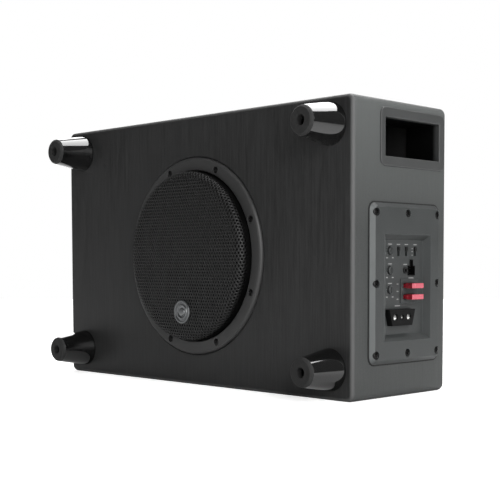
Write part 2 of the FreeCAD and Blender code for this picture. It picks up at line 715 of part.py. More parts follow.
def panel_blank():
    """Plate with rounded corners and a bevelled rim, a tub behind it and the well sunk into both."""
    body = doc.addObject("PartDesign::Body", "panel_blank")
    plate = new_sketch(body, "YZ_Plane")
    rectangle(plate, ("panel_mid_y - panel_wide / 2", "panel_mid_y + panel_wide / 2"),
              ("panel_mid_z - panel_high / 2", "panel_mid_z + panel_high / 2"))
    slab = pad(body, plate, "panel_proud - seal")
    doc.recompute()
    corners = soften(body, "Fillet", slab, edges_along(slab.Shape, V(1, 0, 0)), Radius="panel_round")
    doc.recompute()
    rim = edges_at(corners.Shape, V(1, 0, 0), value("panel_proud - seal"))
    soften(body, "Chamfer", corners, rim, Size="panel_bevel")
    tub = new_sketch(body, "YZ_Plane")
    rectangle(tub, ("tub_front", "tub_rear"), ("tub_bottom", "tub_top"))
    pad(body, tub, f"{PANEL_BACK} - tub_back", inward=True)
    floor = new_sketch(body, "YZ_Plane", f"well_floor - ({PANEL_BACK})")
    rectangle(floor, ("floor_front", "floor_rear"), ("floor_bottom", "floor_top"))
    brim = new_sketch(body, "YZ_Plane", "panel_proud - seal")
    rectangle(brim, ("brim_front", "brim_rear"), ("brim_bottom", "brim_top"))
    well = feature(body, "SubtractiveLoft", brim)
    well.Sections = [floor]
    doc.recompute()
    return place(body, (PANEL_BACK, "0", "0"))


def terminal_outline(name, clearance, x_span):
    """The trapezium of the power terminal block, wider at the top, between two x places."""
    body = doc.addObject("PartDesign::Body", name)
    sketch = new_sketch(body, "YZ_Plane")
    top_half = f"(block_top_wide / 2 + {clearance})"
    low_half = f"(block_low_wide / 2 + {clearance})"
    low = f"block_bottom - {clearance}"
    top = f"block_top + {clearance}"
    draw(sketch, [
        (f"block_mid - {low_half}", low), (f"block_mid + {low_half}", low),
        (f"block_mid + {top_half}", top), (f"block_mid - {top_half}", top),
    ])
    pad(body, sketch, f"({x_span[1]}) - ({x_span[0]})")
    return place(body, (x_span[0], "0", "0"))


def socket_form(name, clearance, x_span):
    """The bottle-shaped outline of the signal socket: a body with a narrow latch neck above."""
    half = f"(socket_wide / 2 + {clearance})"
    neck = f"(neck_wide / 2 + {clearance})"
    return joined(name, [
        block(name + "_body", x_span, (f"socket_mid - {half}", f"socket_mid + {half}"),
              (f"socket_bottom - {clearance}", f"socket_top + {clearance}")),
        block(name + "_neck", x_span, (f"socket_mid - {neck}", f"socket_mid + {neck}"),
              ("socket_bottom", f"neck_top + {clearance}")),
    ])


def amp_panel():
    """Moulded panel with holes for the screws and windows for every control in the well."""
    inside, outside = "tub_back - 1", f"{PANEL_FACE} + 1"
    span = f"({outside}) - ({inside})"
    cutters = []
    for y, z in panel_screw_spots():
        cutters.append(rod("panel_hole", "2", span, (inside, y, z), "x"))
        cutters.append(rod("panel_sink", "panel_head_rad + 0.3", "4",
                           (f"{PANEL_FACE} - panel_sink", y, z), "x"))
    for z in KNOBS.values():
        cutters.append(rod("knob_hole", "knob_hole_rad", span, (inside, "knob_y", z), "x"))
    for y in SWITCHES.values():
        cutters.append(block("switch_hole", (inside, outside),
                             (f"{y} - switch_wide / 2", f"{y} + switch_wide / 2"),
                             ("switch_z - switch_high / 2", "switch_z + switch_high / 2")))
    cutters.append(rod("jack_hole", "jack_rad + 0.1", span, (inside, "jack_y", "jack_z"), "x"))
    cutters.append(socket_form("socket_hole", "0.1", (inside, outside)))
    cutters.append(block("fuse_hole", (inside, outside),
                         ("fuse_mid - holder_half - 0.1", "fuse_mid + holder_half + 0.1"),
                         ("fuse_lower - holder_edge - 0.1", "fuse_upper + holder_edge + 0.1")))
    cutters.append(terminal_outline("terminal_hole", "0.1", (inside, outside)))
    return without("amp_panel", panel_blank(), cutters)


def amp_gasket():
    """Thin foam frame between the panel and the box."""
    x_span = (END, PANEL_BACK)
    sheet_y = ("panel_mid_y - panel_wide / 2 + 1", "panel_mid_y + panel_wide / 2 - 1")
    sheet_z = ("panel_mid_z - panel_high / 2 + 1", "panel_mid_z + panel_high / 2 - 1")
    sheet_foam = block("gasket_sheet", x_span, sheet_y, sheet_z)
    window_x = (f"{END} - 1", f"{PANEL_BACK} + 1")
    cutters = [block("gasket_window", window_x, ("cut_front", "cut_rear"), ("cut_bottom", "cut_top"))]
    for y, z in panel_screw_spots():
        cutters.append(rod("gasket_hole", "2", "3", (f"{END} - 1", y, z), "x"))
    return without("amp_gasket", sheet_foam, cutters)


def panel_screws():
    seat = f"{PANEL_FACE} - panel_sink"
    screws = []
    for y, z in panel_screw_spots():
        screws.append(turned("panel_screw", "x", [
            (f"{seat} + 2.6", "0"), (f"{seat} + 2.4", "2.2", "via"), (f"{seat} + 1.3", "panel_head_rad"),
            (seat, "panel_head_rad"),
            (seat, "1.75"), (f"{END} - board + 2", "1.75"), (f"{END} - board", "0"),
        ], ("0", y, z)))
    return group("amp_panel_screws", screws)


def back_cover():
    """Folded steel can that closes the amplifier off from the air in the box."""
    rim = PANEL_BACK
    outer = block("cover_outer", ("cover_back", rim), ("cut_front + 1", "cut_rear - 1"),
                  ("cut_bottom + 1", "cut_top - 1"))
    inner = block("cover_inner", ("cover_back + cover_sheet", f"{rim} + 1"),
                  ("cut_front + 1 + cover_sheet", "cut_rear - 1 - cover_sheet"),
                  ("cut_bottom + 1 + cover_sheet", "cut_top - 1 - cover_sheet"))
    lead_hole = rod("lead_hole", "4", "5", ("cover_back - 1", "30", "80"), "x")
    return without("amp_back_cover", outer, [inner, lead_hole])


# ---------------------------------------------------------------- controls in the well

def knob(name, z):
    """Small trimmer knob with a screwdriver slot, on a shaft in its potentiometer."""
    face = "well_floor + knob_out"
    blank = turned(name + "_blank", "x", [
        (face, "0"), (face, "knob_rad - 0.5"), (f"{face} - 0.5", "knob_rad"),
        ("tub_back - 0.8", "knob_rad"),
        ("tub_back - 0.8", "shaft_rad"), ("circuit_face + 3", "shaft_rad"), ("circuit_face + 3", "0"),
    ], ("0", "knob_y", z))
    slot = block(name + "_slot", (f"{face} - 0.9", f"{face} + 1"), ("knob_y - 0.5", "knob_y + 0.5"),
                 (f"{z} - 3.1", f"{z} + 3.1"))
    return without(name, blank, [slot])


def potentiometers():
    bodies = []
    for z in KNOBS.values():
        case = block("pot_case", ("circuit_face", "tub_back - 1.2"), ("knob_y - 5", "knob_y + 5"),
                     (f"{z} - 5.5", f"{z} + 5.5"))
        bore = rod("pot_bore", "shaft_rad + 0.05", "8", ("circuit_face + 2.6", "knob_y", z), "x")
        bodies.append(without("potentiometer", case, [bore]))
    return group("potentiometers", bodies)


def slider(name, y):
    """Switch button, resting at the top of its window, with a stem in the switch's channel."""
    top = "switch_z + switch_high / 2 - 0.5"
    button_y = (f"{y} - switch_wide / 2 + 0.4", f"{y} + switch_wide / 2 - 0.4")
    button = block(name + "_button", ("tub_back", "well_floor + 1.2"), button_y, (f"{top} - 4", top))
    rib = block(name + "_rib", ("well_floor + 1.2", "well_floor + 1.7"), (f"{y} - 1.2", f"{y} + 1.2"),
                (f"{top} - 2.4", f"{top} - 1.6"))
    stem = block(name + "_stem", ("circuit_face + 5.2", "tub_back"), (f"{y} - 0.9", f"{y} + 0.9"),
                 (f"{top} - 3", f"{top} - 1"))
    return joined(name, [button, rib, stem])


def switch_bodies():
    bodies = []
    for y in SWITCHES.values():
        case = block("switch_case", ("circuit_face", "tub_back - 0.4"), (f"{y} - 3.8", f"{y} + 3.8"),
                     ("switch_z - 7", "switch_z + 7"))
        channel = block("switch_channel", ("circuit_face + 4.8", "tub_back"),
                        (f"{y} - 1.3", f"{y} + 1.3"),
                        ("switch_z - 5", "switch_z + 5"))
        bodies.append(without("slide_switch", case, [channel]))
    return group("switch_bodies", bodies)


def remote_jack():
    """Socket for the remote level control's small round plug."""
    front = "well_floor + 1"
    barrel = rod("jack_barrel", "jack_rad", f"{front} - circuit_face",
                 ("circuit_face", "jack_y", "jack_z"), "x")
    case = block("jack_case", ("circuit_face", "tub_back - 0.4"), ("jack_y - 4", "jack_y + 4"),
                 ("jack_z - 5", "jack_z + 5"))
    bore = rod("jack_bore_hole", "jack_bore", "jack_deep + 1",
               (f"{front} - jack_deep", "jack_y", "jack_z"), "x")
    return without("remote_jack", joined("jack_form", [barrel, case]), [bore])


def signal_socket():
    """Harness socket: shroud with a cavity for the plug and a slot for its latch."""
    front = "well_floor + 1.1"
    form = socket_form("socket_shroud", "0", ("circuit_face", front))
    cavity = block("socket_cavity", ("circuit_face + 3", f"{front} + 1"),
                   ("socket_mid - socket_wide / 2 + 0.9", "socket_mid + socket_wide / 2 - 0.9"),
                   ("socket_bottom + 1", "socket_top - 1"))
    latch = block("latch_slot", ("circuit_face + 5", f"{front} + 1"),
                  ("socket_mid - 1.5", "socket_mid + 1.5"),
                  ("socket_top - 2", "neck_top - 0.9"))
    return without("signal_socket", form, [cavity, latch])


def signal_pins():
    """Four square pins standing in the harness socket."""
    pins = []
    for across in (-2.4, 2.4):
        for up in (-2.1, 2.1):
            pin_y = f"socket_mid + {across}"
            pin_z = f"(socket_bottom + socket_top) / 2 + {up}"
            pins.append(block("signal_pin", ("circuit_face + 3", "circuit_face + 9"),
                              (f"{pin_y} - pin / 2", f"{pin_y} + pin / 2"),
                              (f"{pin_z} - pin / 2", f"{pin_z} + pin / 2")))
    return group("signal_pins", pins)


def blade_spans(grow):
    """The y spans of a fuse's two blades, grown on every side."""
    half = f"(blade_wide / 2 + {grow})"
    middles = [f"fuse_mid + {side} * blade_apart" for side in (-1, 1)]
    return [(f"{middle} - {half}", f"{middle} + {half}") for middle in middles]


def fuse_holder():
    """Insert with a socket for each fuse and slots for the blades."""
    body = block("holder_body", ("circuit_face", "well_floor + 1"),
                 ("fuse_mid - holder_half", "fuse_mid + holder_half"),
                 ("fuse_lower - holder_edge", "fuse_upper + holder_edge"))
    cutters = []
    for z in FUSES.values():
        cutters.append(block("fuse_socket", ("fuse_back - 0.3", "well_floor + 2"),
                             ("fuse_mid - fuse_wide / 2 - 0.4", "fuse_mid + fuse_wide / 2 + 0.4"),
                             (f"{z} - fuse_thick / 2 - 0.4", f"{z} + fuse_thick / 2 + 0.4")))
        for span in blade_spans("0.35"):
            cutters.append(block("blade_slot", ("blade_tip - 0.4", "fuse_back"), span,
                                 (f"{z} - blade_thick / 2 - 0.35", f"{z} + blade_thick / 2 + 0.35")))
    return without("fuse_holder", body, cutters)


def fuse_body(name, z):
    """Blade fuse's plastic body: narrow waist in the holder and a wider head to pull."""
    half = "fuse_wide / 2"
    head = block(name + "_head", ("fuse_out - fuse_head", "fuse_out"),
                 (f"fuse_mid - {half}", f"fuse_mid + {half}"),
                 (f"{z} - fuse_thick / 2", f"{z} + fuse_thick / 2"))
    waist = block(name + "_waist", ("fuse_back", "fuse_out - fuse_head"),
                  (f"fuse_mid - {half} + 0.7", f"fuse_mid + {half} - 0.7"),
                  (f"{z} - fuse_thick / 2 + 0.6", f"{z} + fuse_thick / 2 - 0.6"))
    return joined(name, [head, waist])


def fuse_blades(name, z):
    blades = []
    for span in blade_spans("0"):
        blades.append(block(name + "_blade", ("blade_tip", "fuse_back"), span,
                            (f"{z} - blade_thick / 2", f"{z} + blade_thick / 2")))
    return group(name, blades)


TERMINAL_PLACES = {
    "ground": ("-1", "power_screw_rad"), "remote": ("0", "remote_screw_rad"),
    "power": ("1", "power_screw_rad"),
}


def terminal_block():
    """Power terminal block: three screw wells from the front and three wire holes from below."""
    blank = terminal_outline("terminal_blank", "0", ("circuit_face", "block_out"))
    cutters = []
    for side, radius in TERMINAL_PLACES.values():
        y = f"block_mid + {side} * block_screw_apart"
        cutters.append(rod("terminal_well", f"{radius} + 0.4", "10",
                           ("block_out - 3", y, "block_screw_z"), "x"))
        wire_start = ("block_out - 4.2", y, "block_bottom - 1")
        cutters.append(rod("wire_hole", f"{radius} * 0.6 + 0.3", "10.5", wire_start, "z"))
    return without("terminal_block", blank, cutters)


def terminal_screws():
    screws = []
    for side, radius in TERMINAL_PLACES.values():
        y = f"block_mid + {side} * block_screw_apart"
        blank = turned("terminal_screw_blank", "x", [
            ("block_out - 0.6", "0"), ("block_out - 0.8", f"{radius} * 0.6", "via"),
            ("block_out - 1.4", radius),
            ("block_out - 3", radius), ("block_out - 3", "0"),
        ], ("0", y, "block_screw_z"))
        slot = block("terminal_screw_slot", ("block_out - 1.8", "block_out"),
                     (f"{y} - {radius} - 1", f"{y} + {radius} + 1"),
                     ("block_screw_z - 0.4", "block_screw_z + 0.4"))
        screws.append(without("terminal_screw", blank, [slot]))
    return group("terminal_screws", screws)


# ---------------------------------------------------------------- amplifier electronics

def circuit_board():
    """Board behind the well that carries every control and the power parts."""
    return block("circuit_board", ("circuit_face - circuit_thick", "circuit_face"),
                 ("cut_front + 4", "cut_rear - 4"),
                 ("cut_bottom + 4", "cut_top - 4"))


BOARD_BACK = "circuit_face - circuit_thick"
SINK_FACE = "fin_front + sink_base"
SINK_Z = ("60", "172")


def heat_sink():
    """Aluminium extrusion with fins towards the back of the can."""
    base = block("sink_base", ("fin_front", "fin_front + sink_base"), ("cut_front + 5", "cut_rear - 5"),
                 SINK_Z)
    fins = []
    for number in range(9):
        y = f"cut_front + 5.5 + {number * 9.4}"
        fins.append(block("sink_fin", ("fin_front - fin_long", "fin_front"), (y, f"{y} + 2"), SINK_Z))
    return joined("heat_sink", [base] + fins)


def power_transistors():
    parts = []
    for number in range(4):
        z = 72 + 22 * number
        parts.append(block("transistor", (SINK_FACE, f"{SINK_FACE} + 4.5"), ("-34", "-24"),
                           (f"{z}", f"{z + 15}")))
    return group("power_transistors", parts)


def filter_capacitors():
    parts = []
    for y, z in ((-2, 162), (17, 162), (36, 162), (36, 140)):
        parts.append(turned("capacitor", "x", [
            (f"{SINK_FACE} + 2", "0"), (f"{SINK_FACE} + 2", "7"), (f"{SINK_FACE} + 2.8", "8"),
            (BOARD_BACK, "8"),
            (BOARD_BACK, "0"),
        ], ("0", f"{y}", f"{z}")))
    return group("filter_capacitors", parts)


def power_toroids():
    """Converter transformer and output choke, wound rings lying flat on the board."""
    parts = []
    for radius, z in ((17, 112), (13, 74)):
        parts.append(turned("toroid", "x", [
            (f"{SINK_FACE} + 7", f"{radius * 0.45}"), (f"{SINK_FACE} + 6", f"{radius * 0.7}", "via"),
            (f"{SINK_FACE} + 7", f"{radius - 1}"), (f"{SINK_FACE} + 8", f"{radius}"),
            (f"{BOARD_BACK} - 1", f"{radius}"), (BOARD_BACK, f"{radius - 1}"),
            (BOARD_BACK, f"{radius * 0.45}"),
        ], ("0", "12", f"{z}")))
    return group("power_toroids", parts)


def build_amplifier():
    parts = [amp_panel(), amp_gasket(), panel_screws(), back_cover(), circuit_board(), heat_sink(),
             power_transistors(), filter_capacitors(), power_toroids(), potentiometers(), switch_bodies(),
             remote_jack(), signal_socket(), signal_pins(), fuse_holder(), terminal_block(),
             terminal_screws()]
    parts += [knob(name + "_knob", z) for name, z in KNOBS.items()]
    parts += [slider(name + "_switch_slider", y) for name, y in SWITCHES.items()]
    for name, z in FUSES.items():
        parts.append(fuse_body("fuse_" + name, z))
        parts.append(fuse_blades("fuse_" + name + "_blades", z))
    return parts


# ---------------------------------------------------------------- checks and files

def check_document():
    """Stops at any object that failed to rebuild."""
    for item in doc.Objects:
        if "Invalid" in item.State or "Error" in item.State:
            raise RuntimeError(f"{item.Label} failed: {item.State}")


def write(parts):
    os.makedirs("parts", exist_ok=True)
    for part in parts:
        shape = part.Shape
        if shape.isNull() or not shape.isValid() or not shape.Solids:
            raise RuntimeError(f"{part.Label} has no valid solid")
        shape.exportStep(os.path.join("parts", part.Label + ".step"))
        print(part.Label, len(shape.Solids), round(shape.Volume))


fill_sheet()
PARTS = build_cabinet() + build_port() + build_driver() + build_feet() + build_amplifier()
doc.recompute()
check_document()
write(PARTS)
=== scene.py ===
"""Looks of the powered car subwoofer: vinyl wrap, perforated grille, screws, soft parts and finishes.

Lengths are metres in the part's own frame: X along the cabinet to the amplifier end, -Y out of the
driver, +Z up. MM turns the millimetre sizes below into metres.
"""

import math

import bmesh
import bpy
from mathutils import Matrix, Vector
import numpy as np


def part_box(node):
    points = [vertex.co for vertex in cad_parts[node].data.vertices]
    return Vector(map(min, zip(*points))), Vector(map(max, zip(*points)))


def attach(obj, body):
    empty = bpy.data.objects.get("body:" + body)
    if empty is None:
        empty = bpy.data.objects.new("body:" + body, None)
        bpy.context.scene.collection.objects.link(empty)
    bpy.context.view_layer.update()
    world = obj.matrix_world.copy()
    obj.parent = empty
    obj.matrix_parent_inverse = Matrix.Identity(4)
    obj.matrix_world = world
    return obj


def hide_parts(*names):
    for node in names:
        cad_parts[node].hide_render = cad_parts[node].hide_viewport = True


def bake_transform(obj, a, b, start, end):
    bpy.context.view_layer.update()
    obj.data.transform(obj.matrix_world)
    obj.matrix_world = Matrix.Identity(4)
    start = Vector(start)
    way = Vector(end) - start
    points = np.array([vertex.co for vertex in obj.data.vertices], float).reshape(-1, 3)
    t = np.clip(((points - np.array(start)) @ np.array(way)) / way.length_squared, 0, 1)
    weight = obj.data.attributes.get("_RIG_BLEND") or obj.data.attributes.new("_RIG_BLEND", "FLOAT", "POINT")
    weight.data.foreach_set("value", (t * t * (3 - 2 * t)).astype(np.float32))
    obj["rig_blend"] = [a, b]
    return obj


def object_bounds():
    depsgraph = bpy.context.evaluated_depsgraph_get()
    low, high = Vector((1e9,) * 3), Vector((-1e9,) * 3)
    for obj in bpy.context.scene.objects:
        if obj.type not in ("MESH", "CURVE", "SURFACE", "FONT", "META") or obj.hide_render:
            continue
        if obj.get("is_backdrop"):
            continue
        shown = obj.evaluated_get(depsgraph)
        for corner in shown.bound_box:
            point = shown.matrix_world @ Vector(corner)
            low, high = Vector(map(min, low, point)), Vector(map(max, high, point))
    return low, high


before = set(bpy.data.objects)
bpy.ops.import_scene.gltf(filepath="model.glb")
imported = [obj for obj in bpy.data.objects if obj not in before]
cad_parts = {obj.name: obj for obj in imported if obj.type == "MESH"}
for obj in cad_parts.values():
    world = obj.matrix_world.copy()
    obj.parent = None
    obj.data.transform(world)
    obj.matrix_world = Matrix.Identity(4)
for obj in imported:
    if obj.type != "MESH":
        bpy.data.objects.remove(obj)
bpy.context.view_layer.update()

MM = 0.001
CABINET = "cabinet"
CONE = "cone_assembly"

# Camera, floor and surrounding light: places in metres, turns in degrees
CAMERA_PLACE = (0.91896, -0.85971, 0.13485)
CAMERA_TURN = 43.7396
CAMERA_TILT = -3.1799
LENS_MM = 76.98
SENSOR_MM = 36
LENS_SHIFT_X = -0.102
LENS_SHIFT_Y = 0.148
WORLD_STRENGTH = 0.16
FLOOR_RADIUS = 3
FLOOR_GLOW = 0.7

# Vinyl wrap
WRAP = 0.4 * MM
OUTLINE_RADIUS = 8 * MM
EDGE_ROUNDING = 4.5 * MM
WRAP_HOLE_RADIUS = 111.2 * MM
ARC_STEPS = 8

# Seal round the amplifier panel: its lap under the panel, and its lip outside the panel, widened into a dark
# band that paints the shadow line round it
SEAL_LAP = 1.0 * MM
SHADOW_LIP = 1.3 * MM

# Grille
GRILLE_WALL = 94 * MM
GRILLE_SHOULDER = 9 * MM
GRILLE_SHEET = 1.0 * MM
HOLE_PITCH = 4.0 * MM
HOLE_RADIUS = 1.25 * MM
HOLE_SIDES = 12
PERFORATED_REACH = 104 * MM
GRILLE_SEGMENTS = 180
SAME_SPOT = 0.005 * MM

# Screws
DRIVER_SCREW_CIRCLE = 101.5 * MM
DRIVER_SCREWS = 8
DRIVER_HEAD_RADIUS = 3.5 * MM
PANEL_HEAD_RADIUS = 3.9 * MM
SHANK_RADIUS = 1.9 * MM
DRIVER_HEAD_HEIGHT = 2.0 * MM
PANEL_HEAD_HEIGHT = 2.6 * MM
DRIVER_SCREW_TURN = 0.9
PANEL_SCREW_TURN = 0.7
HEAD_SEGMENTS = 40

# Printed marks: the length and height of each kind, and where those of a knob stand round it
KNOB_MARK = (6.4 * MM, 0.9 * MM)
KNOB_MARK_RISE = 6.6 * MM
STOP_MARK = (3.0 * MM, 1.1 * MM)
STOP_MARK_SIDE = 4.6 * MM
STOP_MARK_DROP = 7.2 * MM
TICK = (0.9 * MM, 0.22 * MM)
TICK_CIRCLE = 5.4 * MM
TICKS = 11
FIRST_TICK_TURN = -50
TICK_TURN = 28
SLIDER_MARK = (5.6 * MM, 0.9 * MM)
MODE_MARK = (2.2 * MM, 0.8 * MM)
JACK_MARK = (6.2 * MM, 0.9 * MM)
SOCKET_MARK = (8.5 * MM, 1.0 * MM)
TERMINAL_MARK = (9 * MM, 1.1 * MM)
FUSE_MARK = (3.2 * MM, 0.9 * MM)
KNOBS = ("gain_knob", "crossover_knob", "boost_knob")

# Surround and spider
SURROUND_LIP = 70.4 * MM
SURROUND_ROLL_INNER = 78 * MM
SURROUND_ROLL_OUTER = 88 * MM
SOFT_SEGMENTS = 128


# ---------------------------------------------------------------- meshes

def finished_mesh(bm, name, smooth_angle=35):
    """Makes an object of bm, with smooth faces and sharp edges past smooth_angle degrees."""
    bmesh.ops.recalc_face_normals(bm, faces=bm.faces)
    mesh = bpy.data.meshes.new(name)
    bm.to_mesh(mesh)
    bm.free()
    mesh.shade_smooth()
    mesh.set_sharp_from_angle(angle=math.radians(smooth_angle))
    piece = bpy.data.objects.new(name, mesh)
    bpy.context.scene.collection.objects.link(piece)
    return piece


def weigh_normals(piece):
    """Keeps large flat faces flat beside rounded edges."""
    modifier = piece.modifiers.new("normals", "WEIGHTED_NORMAL")
    modifier.keep_sharp = True


def settle(piece, body, slot, material, *nodes):
    """Gives a new piece its body and its material, and hides the CAD nodes that it stands for; its slot is
    not used.
    """
    piece.data.materials.append(material)
    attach(piece, body)
    if nodes:
        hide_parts(*nodes)


def bridge(bm, first, second):
    """Joins two closed rows of vertices with quads."""
    count = len(first)
    for index in range(count):
        after = (index + 1) % count
        bm.faces.new((first[index], first[after], second[after], second[index]))


def revolve(bm, profile, matrix, segments, closed=False):
    """Turns a profile of (radius, height) points round Z, then moves it by matrix."""
    rows = []
    for radius, height in profile:
        row = []
        if radius < 1e-7:
            row.append(bm.verts.new(matrix @ Vector((0, 0, height))))
        else:
            for index in range(segments):
                angle = 2 * math.pi * index / segments
                spot = Vector((radius * math.cos(angle), radius * math.sin(angle), height))
                row.append(bm.verts.new(matrix @ spot))
        rows.append(row)
    pairs = list(zip(rows, rows[1:]))
    if closed:
        pairs.append((rows[-1], rows[0]))
    for first, second in pairs:
        if len(first) == 1 and len(second) == 1:
            continue
        if len(first) == 1 or len(second) == 1:
            tip, row = (first[0], second) if len(first) == 1 else (second[0], first)
            for index in range(segments):
                bm.faces.new((tip, row[index], row[(index + 1) % segments]))
        else:
            bridge(bm, first, second)


def facing_front(x, y, z):
    """A matrix that puts local Z along -Y, at a point."""
    return Matrix.Translation((x, y, z)) @ Matrix.Rotation(math.pi / 2, 4, "X")


def facing_end(x, y, z):
    """A matrix that puts local Z along +X, at a point."""
    return Matrix.Translation((x, y, z)) @ Matrix.Rotation(math.pi / 2, 4, "Y")


def middle(node):
    low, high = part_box(node)
    return (low + high) / 2


# ---------------------------------------------------------------- material helpers

def new_material(name):
    material = bpy.data.materials.new(name)
    material.use_nodes = True
    tree = material.node_tree
    return material, tree, tree.nodes["Principled BSDF"]


def add(tree, kind, inputs=None, **settings):
    """Adds a node. Inputs may be plain values or sockets to link from."""
    node = tree.nodes.new(kind)
    for key, value in settings.items():
        setattr(node, key, value)
    for key, value in (inputs or {}).items():
        if isinstance(value, bpy.types.NodeSocket):
            tree.links.new(value, node.inputs[key])
        else:
            node.inputs[key].default_value = value
    return node


def stretched(tree, stretch):
    """Object coordinates, scaled along each axis."""
    place = add(tree, "ShaderNodeTexCoord").outputs["Object"]
    return add(tree, "ShaderNodeMapping", {"Vector": place, "Scale": stretch}).outputs["Vector"]


def noise(tree, size, stretch=(1, 1, 1), detail=4, roughness=0.55):
    """Noise whose features are about size metres across."""
    inputs = {
        "Vector": stretched(tree, stretch),
        "Scale": 1 / size,
        "Detail": detail,
        "Roughness": roughness,
    }
    return add(tree, "ShaderNodeTexNoise", inputs).outputs["Fac"]


def cells(tree, size):
    inputs = {"Vector": stretched(tree, (1, 1, 1)), "Scale": 1 / size}
    return add(tree, "ShaderNodeTexVoronoi", inputs).outputs["Distance"]


def spread(tree, value, low, high, start=0.3, end=0.7):
    """Maps value from start..end to low..high."""
    inputs = {"Value": value, "From Min": start, "From Max": end, "To Min": low, "To Max": high}
    return add(tree, "ShaderNodeMapRange", inputs).outputs["Result"]


def mixed(tree, factor, first, second):
    """Mixes two colours by a factor."""
    node = tree.nodes.new("ShaderNodeMix")
    node.data_type = "RGBA"
    for index, value in ((0, factor), (6, first), (7, second)):
        if isinstance(value, bpy.types.NodeSocket):
            tree.links.new(value, node.inputs[index])
        else:
            node.inputs[index].default_value = value
    return node.outputs[2]


def grey(level, tint=(1, 1, 1)):
    return (level * tint[0], level * tint[1], level * tint[2], 1)


def edges(tree, radius):
    """1 on the edges of a shape, to about radius from them, and 0 on its faces."""
    rounded = add(tree, "ShaderNodeBevel", {"Radius": radius}, samples=4).outputs["Normal"]
    normal = add(tree, "ShaderNodeNewGeometry").outputs["Normal"]
    dot = add(tree, "ShaderNodeVectorMath", {0: rounded, 1: normal}, operation="DOT_PRODUCT")
    return spread(tree, dot.outputs["Value"], 1.0, 0.0, 0.80, 0.995)


def bump(tree, height, depth, under=None):
    inputs = {"Height": height, "Distance": depth, "Strength": 1.0}
    if under is not None:
        inputs["Normal"] = under
    return add(tree, "ShaderNodeBump", inputs).outputs["Normal"]


def place_along(tree, axis):
    """The object coordinate along one axis, in metres."""
    place = add(tree, "ShaderNodeTexCoord").outputs["Object"]
    return add(tree, "ShaderNodeSeparateXYZ", {"Vector": place}).outputs[axis]


def facing(tree, axis):
    """1 where a face looks along an axis, either way, and 0 where it looks across it."""
    normal = add(tree, "ShaderNodeTexCoord").outputs["Normal"]
    share = add(tree, "ShaderNodeSeparateXYZ", {"Vector": normal}).outputs[axis]
    return add(tree, "ShaderNodeMath", {0: share}, operation="ABSOLUTE").outputs["Value"]


def times(tree, first, second):
    return add(tree, "ShaderNodeMath", {0: first, 1: second}, operation="MULTIPLY").outputs["Value"]


def larger(tree, first, second):
    return add(tree, "ShaderNodeMath", {0: first, 1: second}, operation="MAXIMUM").outputs["Value"]


def shaded(tree, colour, axis, near, far, least):
    """Darkens a colour to the share least between the places near and far along an axis."""
    share = spread(tree, place_along(tree, axis), 1.0, least, near, far)
    return mixed(tree, share, grey(0.0), colour)


def deepened(tree, shader, colour, shine, dark_past):
    """Sets the shine and, where dark_past is given, fades both shine and colour past a place."""
    shader.inputs["Specular IOR Level"].default_value = shine
    if dark_past is None:
        return colour
    axis, near, far, least = dark_past
    gloss = spread(tree, place_along(tree, axis), shine, shine * least, near, far)
    tree.links.new(gloss, shader.inputs["Specular IOR Level"])
    return shaded(tree, colour, axis, near, far, least)


def softened(tree, radius):
    """A normal that rounds the sharp edges of a CAD shape."""
    return add(tree, "ShaderNodeBevel", {"Radius": radius}, samples=4).outputs["Normal"]


def finish_surface(tree, shader, colour, roughness, normal):
    tree.links.new(colour, shader.inputs["Base Color"])
    tree.links.new(roughness, shader.inputs["Roughness"])
    tree.links.new(normal, shader.inputs["Normal"])


# ---------------------------------------------------------------- finishes

# Scales of the wave textures that draw the threads of the spider and the turns of the coil
CLOTH_BANDS = 330.0
WIRE_BANDS = 500.0

# Vinyl of the ends, painted lighter than the front as if lit from the side: its tint, and the heights between
# which painted light from above makes it paler
END_TINT = (0.95, 1.0, 0.985)
END_LIGHT_FROM = 170 * MM
END_LIGHT_TO = 300 * MM


def vinyl(name, level):
    """Charcoal vinyl: a fine upright grain on the front; plainer ends painted lighter as if lit from the side
    and paler towards the top as if lit from above; and a painted highlight on the rounded edges.
    """
    material, tree, shader = new_material(name)
    streaks = noise(tree, 1.7 * MM, (1, 1, 0.035), 5, 0.62)
    broad = noise(tree, 60 * MM, (1, 1, 0.4), 3)
    pebble = cells(tree, 0.9 * MM)
    fine = noise(tree, 1.1 * MM, detail=4)
    streaked = spread(tree, streaks, 0, 1, 0.36, 0.66)
    grained = mixed(tree, streaked, grey(level * 0.65), grey(level * 1.35))
    front = mixed(tree, spread(tree, broad, 0.0, 0.35), grained, grey(level * 1.3, (0.97, 1, 1.01)))
    # The ends are painted lighter than the front, as if lit from the side.
    lit_end_dark, lit_end_light = grey(level * 2.05, END_TINT), grey(level * 2.6, END_TINT)
    plain = mixed(tree, spread(tree, fine, 0, 1), lit_end_dark, lit_end_light)
    # Painted light from above: the ends grow paler towards the top.
    height = spread(tree, place_along(tree, "Z"), 0, 0.7, END_LIGHT_FROM, END_LIGHT_TO)
    lit_towards_top = mixed(tree, height, plain, grey(level * 5.2, END_TINT))
    colour = mixed(tree, facing(tree, "X"), front, lit_towards_top)
    # Painted highlight: the rounded edges between the front or back and the other faces are made lighter.
    upright = times(tree, facing(tree, "X"), facing(tree, "Y"))
    level_edge = times(tree, facing(tree, "Z"), facing(tree, "Y"))
    rounded = larger(tree, upright, level_edge)
    wear_and_painted_light = mixed(tree, spread(tree, rounded, 0, 1, 0.12, 0.5), colour, grey(level * 4.0))
    rough = spread(tree, streaks, 0.42, 0.58)
    depth = times(tree, spread(tree, facing(tree, "X"), 1.0, 0.12, 0.2, 0.8), streaks)
    grain = bump(tree, depth, 0.10 * MM)
    pebbled = bump(tree, pebble, 0.03 * MM, grain)
    shader.inputs["Specular IOR Level"].default_value = 0.30
    finish_surface(tree, shader, wear_and_painted_light, rough, pebbled)
    return material


